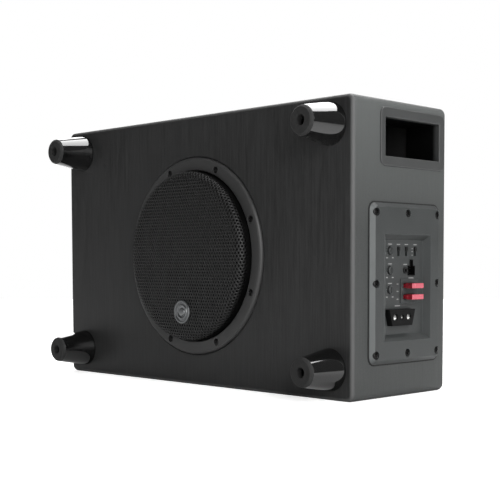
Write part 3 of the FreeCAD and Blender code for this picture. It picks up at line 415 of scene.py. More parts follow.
def moulded(name, level, tint=(1, 1, 1), rough=(0.42, 0.55), texture=0.35, depth=0.035, radius=0.35,
            shine=0.5, dark_past=None, painted_slant_highlight=0.0):
    """Moulded plastic with an eroded texture, soft edges, lighter worn edges, a painted highlight on faces
    slanted between X and Y, and painted shade past dark_past; sizes in mm.
    """
    material, tree, shader = new_material(name)
    speckle = noise(tree, texture * MM, detail=3, roughness=0.7)
    broad = noise(tree, 22 * MM, detail=3)
    base = mixed(tree, spread(tree, speckle, 0, 1), grey(level * 0.8, tint), grey(level * 1.2, tint))
    clouded = mixed(tree, spread(tree, broad, 0, 0.4), base, grey(level * 1.25, tint))
    wear_and_painted_light = mixed(tree, edges(tree, radius * 2 * MM), clouded, grey(level * 1.6, tint))
    # Painted highlight on faces slanted between X and Y, such as the panel's bevels.
    if painted_slant_highlight:
        slanted = times(tree, facing(tree, "X"), facing(tree, "Y"))
        wear_and_painted_light = mixed(tree, spread(tree, slanted, 0, 1, 0.2, 0.45), wear_and_painted_light, grey(level * painted_slant_highlight, tint))
    normal = bump(tree, speckle, depth * MM, softened(tree, radius * MM))
    wear_and_painted_light = deepened(tree, shader, wear_and_painted_light, shine, dark_past)
    finish_surface(tree, shader, wear_and_painted_light, spread(tree, broad, rough[0], rough[1]), normal)
    return material


def glossy_black(name):
    """Polished black plastic under a clear gloss, with faint dust and hairline scratches."""
    material, tree, shader = new_material(name)
    dust = noise(tree, 0.5 * MM, detail=6, roughness=0.75)
    hairlines = noise(tree, 1.2 * MM, (1, 0.05, 1), 3)
    waves = noise(tree, 14 * MM, detail=2)
    colour = mixed(tree, spread(tree, dust, 0, 1, 0.60, 0.85), grey(0.0035), grey(0.03))
    rough = spread(tree, hairlines, 0.05, 0.13, 0.35, 0.75)
    normal = bump(tree, waves, 0.05 * MM, softened(tree, 0.6 * MM))
    shader.inputs["Coat Weight"].default_value = 0.6
    shader.inputs["Coat Roughness"].default_value = 0.03
    finish_surface(tree, shader, colour, rough, normal)
    return material


def metal(name, level, tint, rough, size=1.0, stretch=(1, 1, 1)):
    """Metal with a fine grain and cloudy plating."""
    material, tree, shader = new_material(name)
    grain = noise(tree, size * MM, stretch, 5, 0.6)
    clouds = noise(tree, 9 * MM, detail=4)
    base = mixed(tree, spread(tree, grain, 0, 1), grey(level * 0.8, tint), grey(level * 1.1, tint))
    colour = mixed(tree, spread(tree, clouds, 0, 0.5), base, grey(level * 0.65, tint))
    normal = bump(tree, grain, 0.02 * MM, softened(tree, 0.15 * MM))
    shader.inputs["Metallic"].default_value = 1.0
    finish_surface(tree, shader, colour, spread(tree, clouds, rough[0], rough[1]), normal)
    return material


def coated_metal(name, level, rough, depth=0.03, shine=0.5, dark_past=None):
    """Powder-coated steel: black paint with a slight orange peel and broad clouding."""
    material, tree, shader = new_material(name)
    peel = noise(tree, 0.8 * MM, detail=2)
    broad = noise(tree, 30 * MM)
    base = mixed(tree, spread(tree, peel, 0, 1), grey(level * 0.8), grey(level * 1.25))
    colour = mixed(tree, spread(tree, broad, 0, 0.5), base, grey(level * 1.3))
    normal = bump(tree, peel, depth * MM)
    colour = deepened(tree, shader, colour, shine, dark_past)
    finish_surface(tree, shader, colour, spread(tree, broad, rough[0], rough[1]), normal)
    return material


def rubber(name, level, rough=(0.65, 0.85)):
    """Matt rubber with a dusty bloom."""
    material, tree, shader = new_material(name)
    bloom = noise(tree, 3 * MM, detail=6, roughness=0.7)
    fine = noise(tree, 0.25 * MM, detail=2)
    colour = mixed(tree, spread(tree, bloom, 0, 1, 0.4, 0.75), grey(level), grey(level * 2.2))
    normal = bump(tree, fine, 0.02 * MM)
    shader.inputs["Specular IOR Level"].default_value = 0.35
    finish_surface(tree, shader, colour, spread(tree, bloom, rough[0], rough[1]), normal)
    return material


def fibre(name, dark, light, size=1.5, depth=0.12, rough=(0.75, 0.92)):
    """Pressed fibre, for paper pulp and fibreboard."""
    material, tree, shader = new_material(name)
    strands = noise(tree, size * MM, (1, 0.35, 1), 8, 0.7)
    clumps = cells(tree, size * 2.2 * MM)
    base = mixed(tree, spread(tree, strands, 0, 1), dark, light)
    colour = mixed(tree, spread(tree, clumps, 0, 0.35, 0.1, 0.6), base, dark)
    normal = bump(tree, strands, depth * MM)
    finish_surface(tree, shader, colour, spread(tree, strands, rough[0], rough[1]), normal)
    return material


def bands(tree, scale, direction):
    inputs = {"Vector": stretched(tree, (1, 1, 1)), "Scale": scale}
    return add(tree, "ShaderNodeTexWave", inputs, bands_direction=direction).outputs["Fac"]


def woven(name, dark, light):
    """Resin-dipped cloth: two crossed threads, as used on a spider."""
    material, tree, shader = new_material(name)
    crossed = larger(tree, bands(tree, CLOTH_BANDS, "X"), bands(tree, CLOTH_BANDS, "Z"))
    stain = noise(tree, 12 * MM, detail=5)
    colour = mixed(tree, crossed, dark, light)
    normal = bump(tree, crossed, 0.12 * MM)
    finish_surface(tree, shader, colour, spread(tree, stain, 0.7, 0.9), normal)
    return material


def wound(name):
    """Enamelled copper wire, wound close."""
    material, tree, shader = new_material(name)
    turns = bands(tree, WIRE_BANDS, "Y")
    clouds = noise(tree, 4 * MM)
    colour = mixed(tree, spread(tree, clouds, 0, 1), (0.42, 0.13, 0.04, 1), (0.72, 0.28, 0.1, 1))
    shader.inputs["Metallic"].default_value = 1.0
    finish_surface(tree, shader, colour, spread(tree, turns, 0.22, 0.45), bump(tree, turns, 0.2 * MM))
    return material


def tinted_plastic(name, dark, light, rough=(0.18, 0.3), end=None):
    """Clear-tinted plastic, cloudy inside, lighter at its edges, and of the colour end along X."""
    material, tree, shader = new_material(name)
    clouds = noise(tree, 5 * MM, detail=4)
    base = mixed(tree, spread(tree, clouds, 0, 1), dark, light)
    if end is not None:
        base = mixed(tree, facing(tree, "X"), base, end)
    colour = mixed(tree, edges(tree, 0.7 * MM), base, light)
    normal = bump(tree, clouds, 0.05 * MM, softened(tree, 0.3 * MM))
    shader.inputs["Coat Weight"].default_value = 0.4
    finish_surface(tree, shader, colour, spread(tree, clouds, rough[0], rough[1]), normal)
    return material


def printed(name, level):
    """White screen-printing ink, slightly worn."""
    material, tree, shader = new_material(name)
    wear = noise(tree, 0.6 * MM, detail=5)
    colour = mixed(tree, spread(tree, wear, 0, 1, 0.55, 0.8), grey(level), grey(level * 0.5))
    finish_surface(tree, shader, colour, spread(tree, wear, 0.5, 0.7), bump(tree, wear, 0.01 * MM))
    return material


# Tints, and the places past which the port and the grille's wall lie in shade
COOL = (0.93, 1.0, 1.0)
FUSE_END = (0.48, 0.10, 0.13, 1)
LIP_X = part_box("port_trim")[1].x
GRILLE_FACE_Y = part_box("grille")[0].y
PORT_DARK = ("X", LIP_X - 4.0 * MM, LIP_X - 9.0 * MM, 0.06)
GRILLE_DARK = ("Y", GRILLE_FACE_Y + 5.0 * MM, GRILLE_FACE_Y + 9.0 * MM, 0.2)
FINISHES = {
    "vinyl_board": coated_metal("vinyl_board_edges", 0.006, (0.7, 0.85)),
    "raw_board": fibre("port_board", grey(0.004), grey(0.009)),
    "gloss_black": glossy_black("gloss_black_plastic"),
    # The panel plastic has a painted highlight on its slanted bevels.
    "panel_plastic": moulded("panel_plastic", 0.036, COOL, (0.40, 0.52), 0.35, 0.03, 0.5, 0.4, painted_slant_highlight=2.4),
    "port_plastic": moulded("port_plastic", 0.040, (0.97, 1, 1), (0.46, 0.58), 0.35, 0.03, 0.5, 0.4,
                            dark_past=PORT_DARK),
    "ring_plastic": moulded("ring_plastic", 0.034, (1, 1, 1), (0.42, 0.54), 0.4, 0.03, 0.4, 0.4),
    "black_plastic": moulded("black_plastic", 0.007, (1, 1, 1), (0.36, 0.5), 0.3, 0.02, 0.25, 0.3),
    "grille_steel": coated_metal("grille_powder_coat", 0.008, (0.40, 0.52), 0.03, 0.35, GRILLE_DARK),
    "badge_metal": metal("badge_metal", 0.22, (0.97, 1, 1.02), (0.30, 0.42), 0.4),
    "black_screw": metal("black_screw", 0.03, (1, 1, 1), (0.28, 0.4), 0.4),
    "bright_screw": metal("bright_screw", 0.85, (1, 1, 0.98), (0.16, 0.3), 0.4),
    "basket_steel": coated_metal("basket_paint", 0.012, (0.35, 0.5)),
    "plated_steel": metal("plated_steel", 0.62, (1, 0.97, 0.9), (0.28, 0.45), 2.0),
    "ferrite": fibre("ferrite", grey(0.02), grey(0.045), 0.8, 0.05, (0.6, 0.8)),
    "rubber": rubber("rubber", 0.012),
    "foam_rubber": rubber("foam_rubber", 0.01, (0.85, 0.95)),
    "pulp": fibre("cone_pulp", grey(0.008), grey(0.022), 1.5),
    "spider_cloth": woven("spider_cloth", (0.28, 0.17, 0.05, 1), (0.55, 0.38, 0.14, 1)),
    "copper": wound("copper_wire"),
    "former_film": tinted_plastic("former_film", (0.20, 0.07, 0.01, 1), (0.45, 0.19, 0.04, 1)),
    "circuit_green": tinted_plastic("circuit_green", (0.01, 0.09, 0.03, 1), (0.02, 0.16, 0.06, 1),
                                    (0.3, 0.45)),
    "aluminium": metal("aluminium", 0.80, (0.98, 1, 1), (0.3, 0.42), 1.0, (0.05, 1, 1)),
    "can_sleeve": tinted_plastic("can_sleeve", (0.01, 0.015, 0.05, 1), (0.02, 0.03, 0.09, 1)),
    "fuse_red": tinted_plastic("fuse_red", (0.12, 0.002, 0.008, 1), (0.30, 0.01, 0.02, 1), end=FUSE_END),
    "blade_metal": metal("blade_metal", 0.8, (1, 0.98, 0.93), (0.2, 0.35), 0.5),
}
VINYL = vinyl("vinyl_wrap", 0.0205)
INK = printed("printed_ink", 0.24)

# Nodes whose finish is not that of their slot
OWN_FINISHES = {
    "signal_pins": metal("shaded_pins", 0.05, (1, 0.98, 0.93), (0.4, 0.5), 0.5),
    "terminal_block": moulded("terminal_black", 0.003, (1, 1, 1), (0.40, 0.52), 0.3, 0.02, 0.25, 0.12),
    "signal_socket": moulded("socket_black", 0.002, (1, 1, 1), (0.45, 0.6), 0.3, 0.02, 0.25, 0.08),
}
KNOB_FINISH = moulded("knob_plastic", 0.028, COOL, (0.42, 0.54), 0.3, 0.02, 0.25, 0.4)
OWN_FINISHES.update({knob: KNOB_FINISH for knob in KNOBS})


def finish_cad_nodes():
    """Gives each CAD node its own finish, or the finish of its material slot."""
    for name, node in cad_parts.items():
        for place in node.material_slots:
            slot_finish = FINISHES[place.material.name.split(".")[0]]
            place.material = OWN_FINISHES.get(name, slot_finish)


# ---------------------------------------------------------------- vinyl wrap

def rounded_points(low, high, inset):
    """Points (across, up) of a rounded rectangle from low to high, moved in by inset."""
    radius = OUTLINE_RADIUS - inset
    near = [low[axis] + OUTLINE_RADIUS for axis in range(2)]
    far = [high[axis] - OUTLINE_RADIUS for axis in range(2)]
    points = []
    corners = ((far[0], far[1], 0), (near[0], far[1], 1), (near[0], near[1], 2), (far[0], near[1], 3))
    for across, up, quarter in corners:
        for step in range(ARC_STEPS + 1):
            angle = math.pi / 2 * (quarter + step / ARC_STEPS)
            points.append((across + radius * math.cos(angle), up + radius * math.sin(angle)))
    return points


def outline(bm, low, high, inset, y):
    """A rounded rectangle in the plane at y, inset from the corners low and high."""
    points = rounded_points((low.x, low.z), (high.x, high.z), inset)
    return [bm.verts.new((x, y, z)) for x, z in points]


def cabinet_block(name, low, high):
    """A closed block with rounded corners and rounded front and rear edges."""
    bm = bmesh.new()
    rows = []
    for side, edge in ((-1, low.y), (1, high.y)):
        for step in range(ARC_STEPS + 1):
            turn = step / ARC_STEPS if side < 0 else 1 - step / ARC_STEPS
            angle = math.pi / 2 * turn
            inset = EDGE_ROUNDING * (1 - math.sin(angle))
            depth = edge - side * EDGE_ROUNDING * (1 - math.cos(angle))
            rows.append(outline(bm, low, high, inset, depth))
    for first, second in zip(rows, rows[1:]):
        bridge(bm, first, second)
    bm.faces.new(rows[0])
    bm.faces.new(rows[-1])
    return finished_mesh(bm, name)


def block(name, low, high):
    bm = bmesh.new()
    bmesh.ops.create_cube(bm, size=1)
    for vert in bm.verts:
        vert.co = Vector((low[axis] if vert.co[axis] < 0 else high[axis]) for axis in range(3))
    return finished_mesh(bm, name)


def disc(name, centre, radius, depth):
    bm = bmesh.new()
    turn = Matrix.Rotation(math.pi / 2, 4, "X")
    place = Matrix.Translation(centre) @ turn
    bmesh.ops.create_cone(
        bm, cap_ends=True, segments=192, radius1=radius, radius2=radius, depth=depth, matrix=place
    )
    return finished_mesh(bm, name)


def cut(piece, cutters):
    """Cuts the cutters out of a piece and removes them."""
    for cutter in cutters:
        modifier = piece.modifiers.new("cut", "BOOLEAN")
        modifier.operation = "DIFFERENCE"
        modifier.solver = "EXACT"
        modifier.object = cutter
    graph = bpy.context.evaluated_depsgraph_get()
    mesh = bpy.data.meshes.new_from_object(piece.evaluated_get(graph))
    piece.modifiers.clear()
    piece.data = mesh
    for cutter in cutters:
        bpy.data.objects.remove(cutter)


def vinyl_wrap():
    """The vinyl over all six boards in one skin, open at the driver, the port and the amplifier."""
    base_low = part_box("bottom_panel")[0]
    low = Vector((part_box("left_end_panel")[0].x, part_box("front_baffle")[0].y, base_low.z))
    high = Vector((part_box("right_end_panel")[1].x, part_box("rear_panel")[1].y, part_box("top_panel")[1].z))
    proud = Vector((WRAP, WRAP, WRAP))
    skin = cabinet_block("vinyl_wrap", low - proud, high + proud)
    boards = cabinet_block("boards_cutter", low, high)
    driver = middle("trim_ring")
    hole_depth = 12 * MM
    port_low, port_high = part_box("port_trim")
    lip = 6 * MM
    panel_low, panel_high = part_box("amp_panel")
    rim = 10 * MM
    reach = 5 * MM
    cutters = [
        boards,
        disc("driver_cutter", (driver.x, low.y, driver.z), WRAP_HOLE_RADIUS, hole_depth),
        block(
            "port_cutter",
            (high.x - reach, port_low.y + lip, port_low.z + lip),
            (high.x + reach, port_high.y - lip, port_high.z - lip),
        ),
        block(
            "panel_cutter",
            (high.x - reach, panel_low.y + rim, panel_low.z + rim),
            (high.x + reach, panel_high.y - rim, panel_high.z - rim),
        ),
    ]
    cut(skin, cutters)
    skin.data.shade_smooth()
    skin.data.set_sharp_from_angle(angle=math.radians(35))
    weigh_normals(skin)
    settle(skin, CABINET, "vinyl_board", VINYL)


def panel_seal_and_shadow():
    """The black lip of the foam seal round the amplifier panel, widened outside the panel into a dark band
    that paints the shadow line all round it.
    """
    panel_low, panel_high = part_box("amp_panel")
    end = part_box("right_end_panel")[1].x + WRAP
    low, high = (panel_low.y, panel_low.z), (panel_high.y, panel_high.z)
    bm = bmesh.new()
    rows = []
    # Outside the panel the lip is a painted shadow line, not seal.
    for inset, proud in ((SEAL_LAP, 0.0), (SEAL_LAP, 0.7 * MM), (-SHADOW_LIP, 0.6 * MM), (-SHADOW_LIP, 0.0)):
        points = rounded_points(low, high, inset)
        rows.append([bm.verts.new((end + proud, y, z)) for y, z in points])
    for first, second in zip(rows, rows[1:] + rows[:1]):
        bridge(bm, first, second)
    piece = finished_mesh(bm, "panel_seal_and_shadow_line")
    settle(piece, CABINET, "foam_rubber", FINISHES["foam_rubber"])


# ---------------------------------------------------------------- grille and badge

def grille_point(reach, angle, face_y, centre):
    """Where a point of the flat blank lies once the blank is pressed to a dish."""
    flat = GRILLE_WALL - GRILLE_SHOULDER
    bend = GRILLE_SHOULDER * math.pi / 2
    if reach <= flat:
        radius, y = reach, face_y
    elif reach <= flat + bend:
        turn = (reach - flat) / GRILLE_SHOULDER
        radius = flat + GRILLE_SHOULDER * math.sin(turn)
        y = face_y + GRILLE_SHOULDER * (1 - math.cos(turn))
    else:
        radius = GRILLE_WALL
        y = face_y + GRILLE_SHOULDER + reach - flat - bend
    return Vector((centre.x + radius * math.cos(angle), y, centre.z + radius * math.sin(angle)))


def grille_mesh():
    """A steel sheet with staggered round holes, pressed to a shallow dish, with a plain foot."""
    low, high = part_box("grille")
    centre = (low + high) / 2
    foot_radius = (high.x - low.x) / 2
    bm = bmesh.new()
    corner_verts = {}

    def shared(x, y):
        key = (round(x / SAME_SPOT), round(y / SAME_SPOT))
        if key not in corner_verts:
            corner_verts[key] = bm.verts.new((x, y, 0))
        return corner_verts[key]

    across = HOLE_PITCH
    down = HOLE_PITCH * math.sqrt(3) / 2
    side = HOLE_PITCH / 2
    rows = int(PERFORATED_REACH / down) + 1
    for row in range(-rows, rows + 1):
        shift = across / 2 if row % 2 else 0
        for column in range(-rows - 1, rows + 2):
            x, y = column * across + shift, row * down
            if math.hypot(x, y) > PERFORATED_REACH - HOLE_PITCH:
                continue
            outer, inner = [], []
            for index in range(HOLE_SIDES):
                angle = 2 * math.pi * index / HOLE_SIDES
                reach = side / math.cos(math.pi / 6) if index % 2 else side
                outer.append(shared(x + reach * math.cos(angle), y + reach * math.sin(angle)))
                spot = (x + HOLE_RADIUS * math.cos(angle), y + HOLE_RADIUS * math.sin(angle), 0)
                inner.append(bm.verts.new(spot))
            bridge(bm, outer, inner)
    outer_verts = set(corner_verts.values())
    rim_edges = [edge for edge in bm.edges if edge.is_boundary and set(edge.verts) <= outer_verts]
    turns = [2 * math.pi * index / GRILLE_SEGMENTS for index in range(GRILLE_SEGMENTS)]
    circle = []
    for turn in turns:
        rim_x, rim_y = PERFORATED_REACH * math.cos(turn), PERFORATED_REACH * math.sin(turn)
        circle.append(bm.verts.new((rim_x, rim_y, 0)))
    circle_edges = [bm.edges.new(pair) for pair in zip(circle, circle[1:] + circle[:1])]
    bmesh.ops.triangle_fill(bm, edges=rim_edges + circle_edges, use_beauty=True)
    for vert in bm.verts:
        reach = math.hypot(vert.co.x, vert.co.y)
        vert.co = grille_point(reach, math.atan2(vert.co.y, vert.co.x), low.y, centre)
    foot_y = high.y - GRILLE_SHEET
    bend, half_bend = 1.5 * MM, 0.45 * MM
    foot = (
        (GRILLE_WALL, foot_y - bend),
        (GRILLE_WALL + half_bend, foot_y - half_bend),
        (GRILLE_WALL + bend, foot_y),
        (foot_radius, foot_y),
    )
    last = circle
    for radius, y in foot:
        row = []
        for turn in turns:
            across, up = radius * math.cos(turn), radius * math.sin(turn)
            row.append(bm.verts.new((centre.x + across, y, centre.z + up)))
        bridge(bm, last, row)
        last = row
    piece = finished_mesh(bm, "perforated_grille", 40)
    sheet = piece.modifiers.new("sheet", "SOLIDIFY")
    sheet.thickness = GRILLE_SHEET
    sheet.offset = -1
    settle(piece, CABINET, "grille_steel", FINISHES["grille_steel"], "grille")


def badge_disc():
    """A plain round badge: two raised rings, a sunk band inside each, and a domed middle."""
    low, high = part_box("grille_badge")
    radius = (high.x - low.x) / 2
    thick = high.y - low.y
    bm = bmesh.new()
    outer_ring = [(0, 0), (13, 0), (13, 0.72), (12.7, 0.92), (12.2, 1.0), (11.3, 1.0), (10.8, 0.9)]
    outer_band = [(10.6, 0.55), (10.4, 0.45), (8.6, 0.45), (8.4, 0.55)]
    inner_ring = [(8.2, 0.86), (7.8, 0.95), (6.9, 0.95), (6.5, 0.84)]
    inner_band = [(6.4, 0.5), (6.2, 0.45), (4.6, 0.45), (4.4, 0.55)]
    dome = [(4.1, 0.84), (3.2, 0.95), (1.6, 1.0), (0, 1.0)]
    profile = outer_ring + outer_band + inner_ring + inner_band + dome
    share = radius / outer_ring[1][0]
    scaled = [(across * share, height * thick) for across, height in profile]
    centre = (low + high) / 2
    revolve(bm, scaled, facing_front(centre.x, high.y, centre.z), 96)
    piece = finished_mesh(bm, "plain_badge", 30)
    settle(piece, CABINET, "badge_metal", FINISHES["badge_metal"], "grille_badge")


# ---------------------------------------------------------------- screws

def screw(bm, matrix, radius, height, shank_length):
    """A pan-head screw with a cross recess. Its seat is at the matrix's origin and its head along Z."""
    slot_half = 0.15 * radius
    reach = 0.62 * radius
    depth = 0.62 * height

    def head_height(x, y):
        share = min(1.0, math.hypot(x, y) / radius)
        dome = height * (0.45 + 0.55 * math.sqrt(max(0.0, 1 - share ** 2.6)))
        nearest = min(abs(x), abs(y))
        farthest = max(abs(x), abs(y))
        if nearest < slot_half and farthest < reach:
            taper = 1 - 0.55 * farthest / reach
            return dome - depth * taper
        return dome

    sides = HEAD_SEGMENTS
    rings = 18
    rows = [[bm.verts.new(matrix @ Vector((0, 0, head_height(0, 0))))]]
    for ring in range(1, rings + 1):
        reach_here = radius * ring / rings
        row = []
        for index in range(sides):
            angle = 2 * math.pi * (index + 0.5) / sides
            x, y = reach_here * math.cos(angle), reach_here * math.sin(angle)
            row.append(bm.verts.new(matrix @ Vector((x, y, head_height(x, y)))))
        rows.append(row)
    for index in range(sides):
        bm.faces.new((rows[0][0], rows[1][index], rows[1][(index + 1) % sides]))
    for first, second in zip(rows[1:], rows[2:]):
        bridge(bm, first, second)
    last = rows[-1]
    for spot_radius, level in ((radius, 0), (SHANK_RADIUS, 0), (SHANK_RADIUS, -shank_length)):
        row = []
        for index in range(sides):
            angle = 2 * math.pi * (index + 0.5) / sides
            spot = Vector((spot_radius * math.cos(angle), spot_radius * math.sin(angle), level))
            row.append(bm.verts.new(matrix @ spot))
        bridge(bm, last, row)
        last = row
    bm.faces.new(last)


def driver_screws():
    low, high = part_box("driver_screws")
    centre = middle("trim_ring")
    seat = low.y + DRIVER_HEAD_HEIGHT
    bm = bmesh.new()
    for index in range(DRIVER_SCREWS):
        angle = 2 * math.pi * (index + 0.5) / DRIVER_SCREWS
        x = centre.x + DRIVER_SCREW_CIRCLE * math.cos(angle)
        z = centre.z + DRIVER_SCREW_CIRCLE * math.sin(angle)
        turn = Matrix.Rotation(index * DRIVER_SCREW_TURN, 4, "Z")
        placed = facing_front(x, seat, z) @ turn
        screw(bm, placed, DRIVER_HEAD_RADIUS, seat - low.y, high.y - seat)
    piece = finished_mesh(bm, "driver_cross_screws", 32)
    settle(piece, CABINET, "black_screw", FINISHES["black_screw"], "driver_screws")


def panel_screws():
    low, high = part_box("amp_panel_screws")
    centre = (low + high) / 2
    seat = high.x - PANEL_HEAD_HEIGHT
    reach_y = (high.y - low.y) / 2 - PANEL_HEAD_RADIUS
    reach_z = (high.z - low.z) / 2 - PANEL_HEAD_RADIUS
    bm = bmesh.new()
    turn = 0
    for across in (-1, 0, 1):
        for up in (-1, 0, 1):
            if across == 0 and up == 0:
                continue
            spot = facing_end(seat, centre.y + across * reach_y, centre.z + up * reach_z)
            placed = spot @ Matrix.Rotation(turn, 4, "Z")
            screw(bm, placed, PANEL_HEAD_RADIUS, high.x - seat, seat - low.x)
            turn += PANEL_SCREW_TURN
    piece = finished_mesh(bm, "panel_cross_screws", 32)
    settle(piece, CABINET, "black_screw", FINISHES["black_screw"], "amp_panel_screws")


# ---------------------------------------------------------------- soft parts of the driver

def blend_round(piece, centre, inner, outer):
    """The piece follows the cone inside inner, the cabinet outside outer, and bends between them."""
    low, high = piece.bound_box[0], piece.bound_box[6]
    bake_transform(piece, CABINET, CONE, start=low, end=high)
    for vert, share in zip(piece.data.vertices, piece.data.attributes["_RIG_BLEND"].data):
        reach = math.hypot(vert.co.x - centre.x, vert.co.z - centre.z)
        part = min(1.0, max(0.0, (outer - reach) / (outer - inner)))
        share.value = part * part * (3 - 2 * part)


def surround_roll():
    """The half-roll rubber surround, with its glued lips."""
    low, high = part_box("surround")
    centre = (low + high) / 2
    outer = (high.x - low.x) / 2
    crest = -low.y
    base = -high.y
    skin = 1.0 * MM
    thicker_crest = 0.2 * MM
    roll_middle = (SURROUND_ROLL_INNER + SURROUND_ROLL_OUTER) / 2
    half = (SURROUND_ROLL_OUTER - SURROUND_ROLL_INNER) / 2
    steps = 16
    top = [(SURROUND_LIP, base + skin)]
    bottom = [(SURROUND_LIP, base)]
    rise = crest - base - skin
    for step in range(steps + 1):
        angle = math.pi * (1 - step / steps)
        top.append((roll_middle + half * math.cos(angle), base + skin + rise * math.sin(angle)))
        under = (rise - thicker_crest) * math.sin(angle)
        bottom.append((roll_middle + (half - skin) * math.cos(angle), base + under))
    top.append((outer, base + skin))
    bottom.append((outer, base))
    bm = bmesh.new()
    revolve(bm, top + bottom[::-1], facing_front(centre.x, 0, centre.z), SOFT_SEGMENTS, closed=True)
    piece = finished_mesh(bm, "surround_roll", 50)
    piece.data.materials.append(FINISHES["rubber"])
    blend_round(piece, centre, SURROUND_ROLL_INNER, SURROUND_ROLL_OUTER)
    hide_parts("surround")


def spider_waves():
    """The corrugated cloth spider, flat at its glued inner and outer edges."""
    low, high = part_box("spider")
    centre = (low + high) / 2
    outer = (high.x - low.x) / 2
    inner = 19.4 * MM
    level = -(low.y + high.y) / 2
    clear = 0.3 * MM
    height = (high.y - low.y) / 2 - clear
    waves = 6
    steps = 84
    flat = 5 * MM
    thick = 0.5 * MM
    top, bottom = [], []
    for step in range(steps + 1):
        radius = inner + (outer - inner) * step / steps
        part = (radius - inner - flat) / (outer - inner - 2 * flat)
        wave = math.sin(2 * math.pi * waves * part) if 0 < part < 1 else 0
        top.append((radius, level + height * wave + thick / 2))
        bottom.append((radius, level + height * wave - thick / 2))
    bm = bmesh.new()
    revolve(bm, top + bottom[::-1], facing_front(centre.x, 0, centre.z), 96, closed=True)
    piece = finished_mesh(bm, "spider_waves", 60)
    piece.data.materials.append(FINISHES["spider_cloth"])
    blend_round(piece, centre, inner + flat, outer - flat)
    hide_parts("spider")


# ---------------------------------------------------------------- printed marks

def dash(bm, y, z, width, height, x, turn=0.0):
    """A flat printed dash with rounded ends, a hair proud of the panel, facing +X."""
    matrix = Matrix.Translation((x, y, z)) @ Matrix.Rotation(turn, 4, "X")
    half = width / 2 - height / 2
    ink = 0.04 * MM
    steps = 6
    rows = []
    for level in (-ink, ink):
        row = []
        for end in (-1, 1):
            for step in range(steps + 1):
                angle = math.pi * step / steps - math.pi / 2 + (math.pi if end < 0 else 0)
                spot = (level, end * half + height / 2 * math.cos(angle), height / 2 * math.sin(angle))
                row.append(bm.verts.new(matrix @ Vector(spot)))
        rows.append(row)
    bridge(bm, rows[0], rows[1])
    bm.faces.new(rows[0])
    bm.faces.new(rows[1])


def control_marks():
    """Plain dashes beside the controls, and a ring of ticks round each knob: no lettering."""
    floor_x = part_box("fuse_holder")[1].x - 1.0 * MM
    bm = bmesh.new()

    def mark(y, z, size, turn=0.0):
        dash(bm, y, z, size[0], size[1], floor_x, turn)

    for knob in KNOBS:
        spot = middle(knob)
        mark(spot.y, spot.z + KNOB_MARK_RISE, KNOB_MARK)
        for side in (-1, 1):
            mark(spot.y + side * STOP_MARK_SIDE, spot.z - STOP_MARK_DROP, STOP_MARK)
        for tick in range(TICKS):
            angle = math.radians(FIRST_TICK_TURN + TICK_TURN * tick)
            place = (spot.y + TICK_CIRCLE * math.cos(angle), spot.z + TICK_CIRCLE * math.sin(angle))
            mark(*place, TICK, angle)
    for slider in ("phase_switch_slider", "input_switch_slider", "mode_switch_slider"):
        low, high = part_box(slider)
        mark((low.y + high.y) / 2, high.z + 2.6 * MM, SLIDER_MARK)
    low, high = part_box("mode_switch_slider")
    for drop in (1.5 * MM, 4.6 * MM, 8.2 * MM):
        mark(low.y - 3.2 * MM, high.z - drop, MODE_MARK)
    jack = middle("remote_jack")
    mark(jack.y, jack.z + 6.2 * MM, JACK_MARK)
    low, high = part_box("signal_socket")
    mark((low.y + high.y) / 2, low.z - 2.6 * MM, SOCKET_MARK)
    low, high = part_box("terminal_block")
    mark((low.y + high.y) / 2, high.z + 3.4 * MM, TERMINAL_MARK)
    low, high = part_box("fuse_holder")
    for share in (0.18, 0.5, 0.8):
        mark(low.y - 4.2 * MM, low.z + share * (high.z - low.z), FUSE_MARK)
    piece = finished_mesh(bm, "control_marks", 30)
    settle(piece, CABINET, "panel_plastic", INK)


# ---------------------------------------------------------------- camera, floor and light

def add_camera():
    data = bpy.data.cameras.new("camera")
    data.sensor_width = SENSOR_MM
    data.lens = LENS_MM
    data.shift_x = LENS_SHIFT_X
    data.shift_y = LENS_SHIFT_Y
    camera = bpy.data.objects.new("camera", data)
    camera.location = CAMERA_PLACE
    camera.rotation_euler = (math.radians(90 + CAMERA_TILT), 0, math.radians(CAMERA_TURN))
    bpy.context.scene.collection.objects.link(camera)
    bpy.context.scene.camera = camera


def soft_light(name, place, aim, size, power):
    data = bpy.data.lights.new(name, "AREA")
    data.shape = "RECTANGLE"
    data.size, data.size_y = size
    data.energy = power
    light = bpy.data.objects.new(name, data)
    light.location = place
    direction = Vector(aim) - Vector(place)
    light.rotation_euler = direction.to_track_quat("-Z", "Y").to_euler()
    bpy.context.scene.collection.objects.link(light)


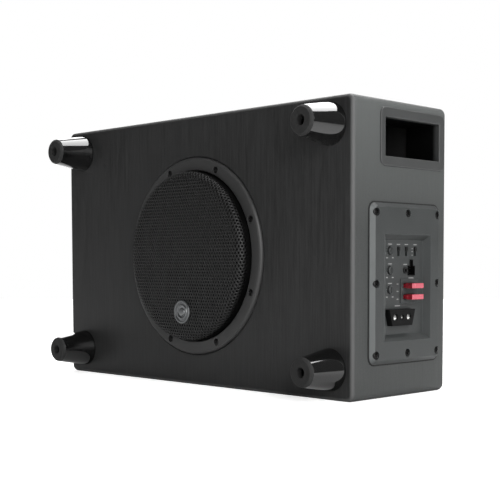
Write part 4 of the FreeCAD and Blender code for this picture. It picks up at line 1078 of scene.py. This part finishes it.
def add_floor(level):
    """A pale round floor that glows to the camera only, so that it meets the white surroundings."""
    bm = bmesh.new()
    bmesh.ops.create_circle(bm, cap_ends=True, segments=96, radius=FLOOR_RADIUS)
    for vert in bm.verts:
        vert.co.z = level
    floor = finished_mesh(bm, "floor")
    material, tree, shader = new_material("pale_floor")
    mottle = noise(tree, 300 * MM, detail=2)
    colour = mixed(tree, spread(tree, mottle, 0, 1), grey(0.78), grey(0.82))
    tree.links.new(colour, shader.inputs["Base Color"])
    shader.inputs["Roughness"].default_value = 0.9
    shader.inputs["Specular IOR Level"].default_value = 0.1
    shader.inputs["Emission Color"].default_value = (1, 1, 1, 1)
    seen = tree.nodes.new("ShaderNodeLightPath").outputs["Is Camera Ray"]
    tree.links.new(spread(tree, seen, 0.0, FLOOR_GLOW, 0, 1), shader.inputs["Emission Strength"])
    floor.data.materials.append(material)
    floor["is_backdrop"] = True


def add_surroundings():
    """White to the camera, and a weak white light to everything else."""
    world = bpy.data.worlds.new("studio")
    bpy.context.scene.world = world
    world.use_nodes = True
    tree = world.node_tree
    tree.nodes.clear()
    rays = tree.nodes.new("ShaderNodeLightPath")
    shown = add(tree, "ShaderNodeBackground", {"Color": (1, 1, 1, 1), "Strength": 1.0})
    lighting = add(tree, "ShaderNodeBackground", {"Color": (1, 1, 1, 1), "Strength": WORLD_STRENGTH})
    inputs = {0: rays.outputs["Is Camera Ray"], 1: lighting.outputs[0], 2: shown.outputs[0]}
    blend = add(tree, "ShaderNodeMixShader", inputs)
    out = tree.nodes.new("ShaderNodeOutputWorld")
    tree.links.new(blend.outputs[0], out.inputs["Surface"])


def add_lights():
    """Each light has a place, an aim, a size in metres and a power in watts."""
    centre = (0, 0, 0.15)
    soft_light("key_right", (2.35, -0.6, 1.15), centre, (1.2, 1.6), 44)
    soft_light("overhead", (0.1, 0.5, 1.9), centre, (1.8, 1.2), 50)
    soft_light("white_backdrop", (-2.2, 2.2, 1.5), (0, 0, 0.25), (2.6, 2.8), 90)
    soft_light("edge_strip", (1.9, -1.35, 0.6), centre, (0.4, 1.3), 16)
    bpy.context.scene.view_settings.view_transform = "Standard"


add_camera()
finish_cad_nodes()
vinyl_wrap()
panel_seal_and_shadow()
grille_mesh()
badge_disc()
driver_screws()
panel_screws()
surround_roll()
spider_waves()
control_marks()
add_floor(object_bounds()[0].z)
add_surroundings()
add_lights()
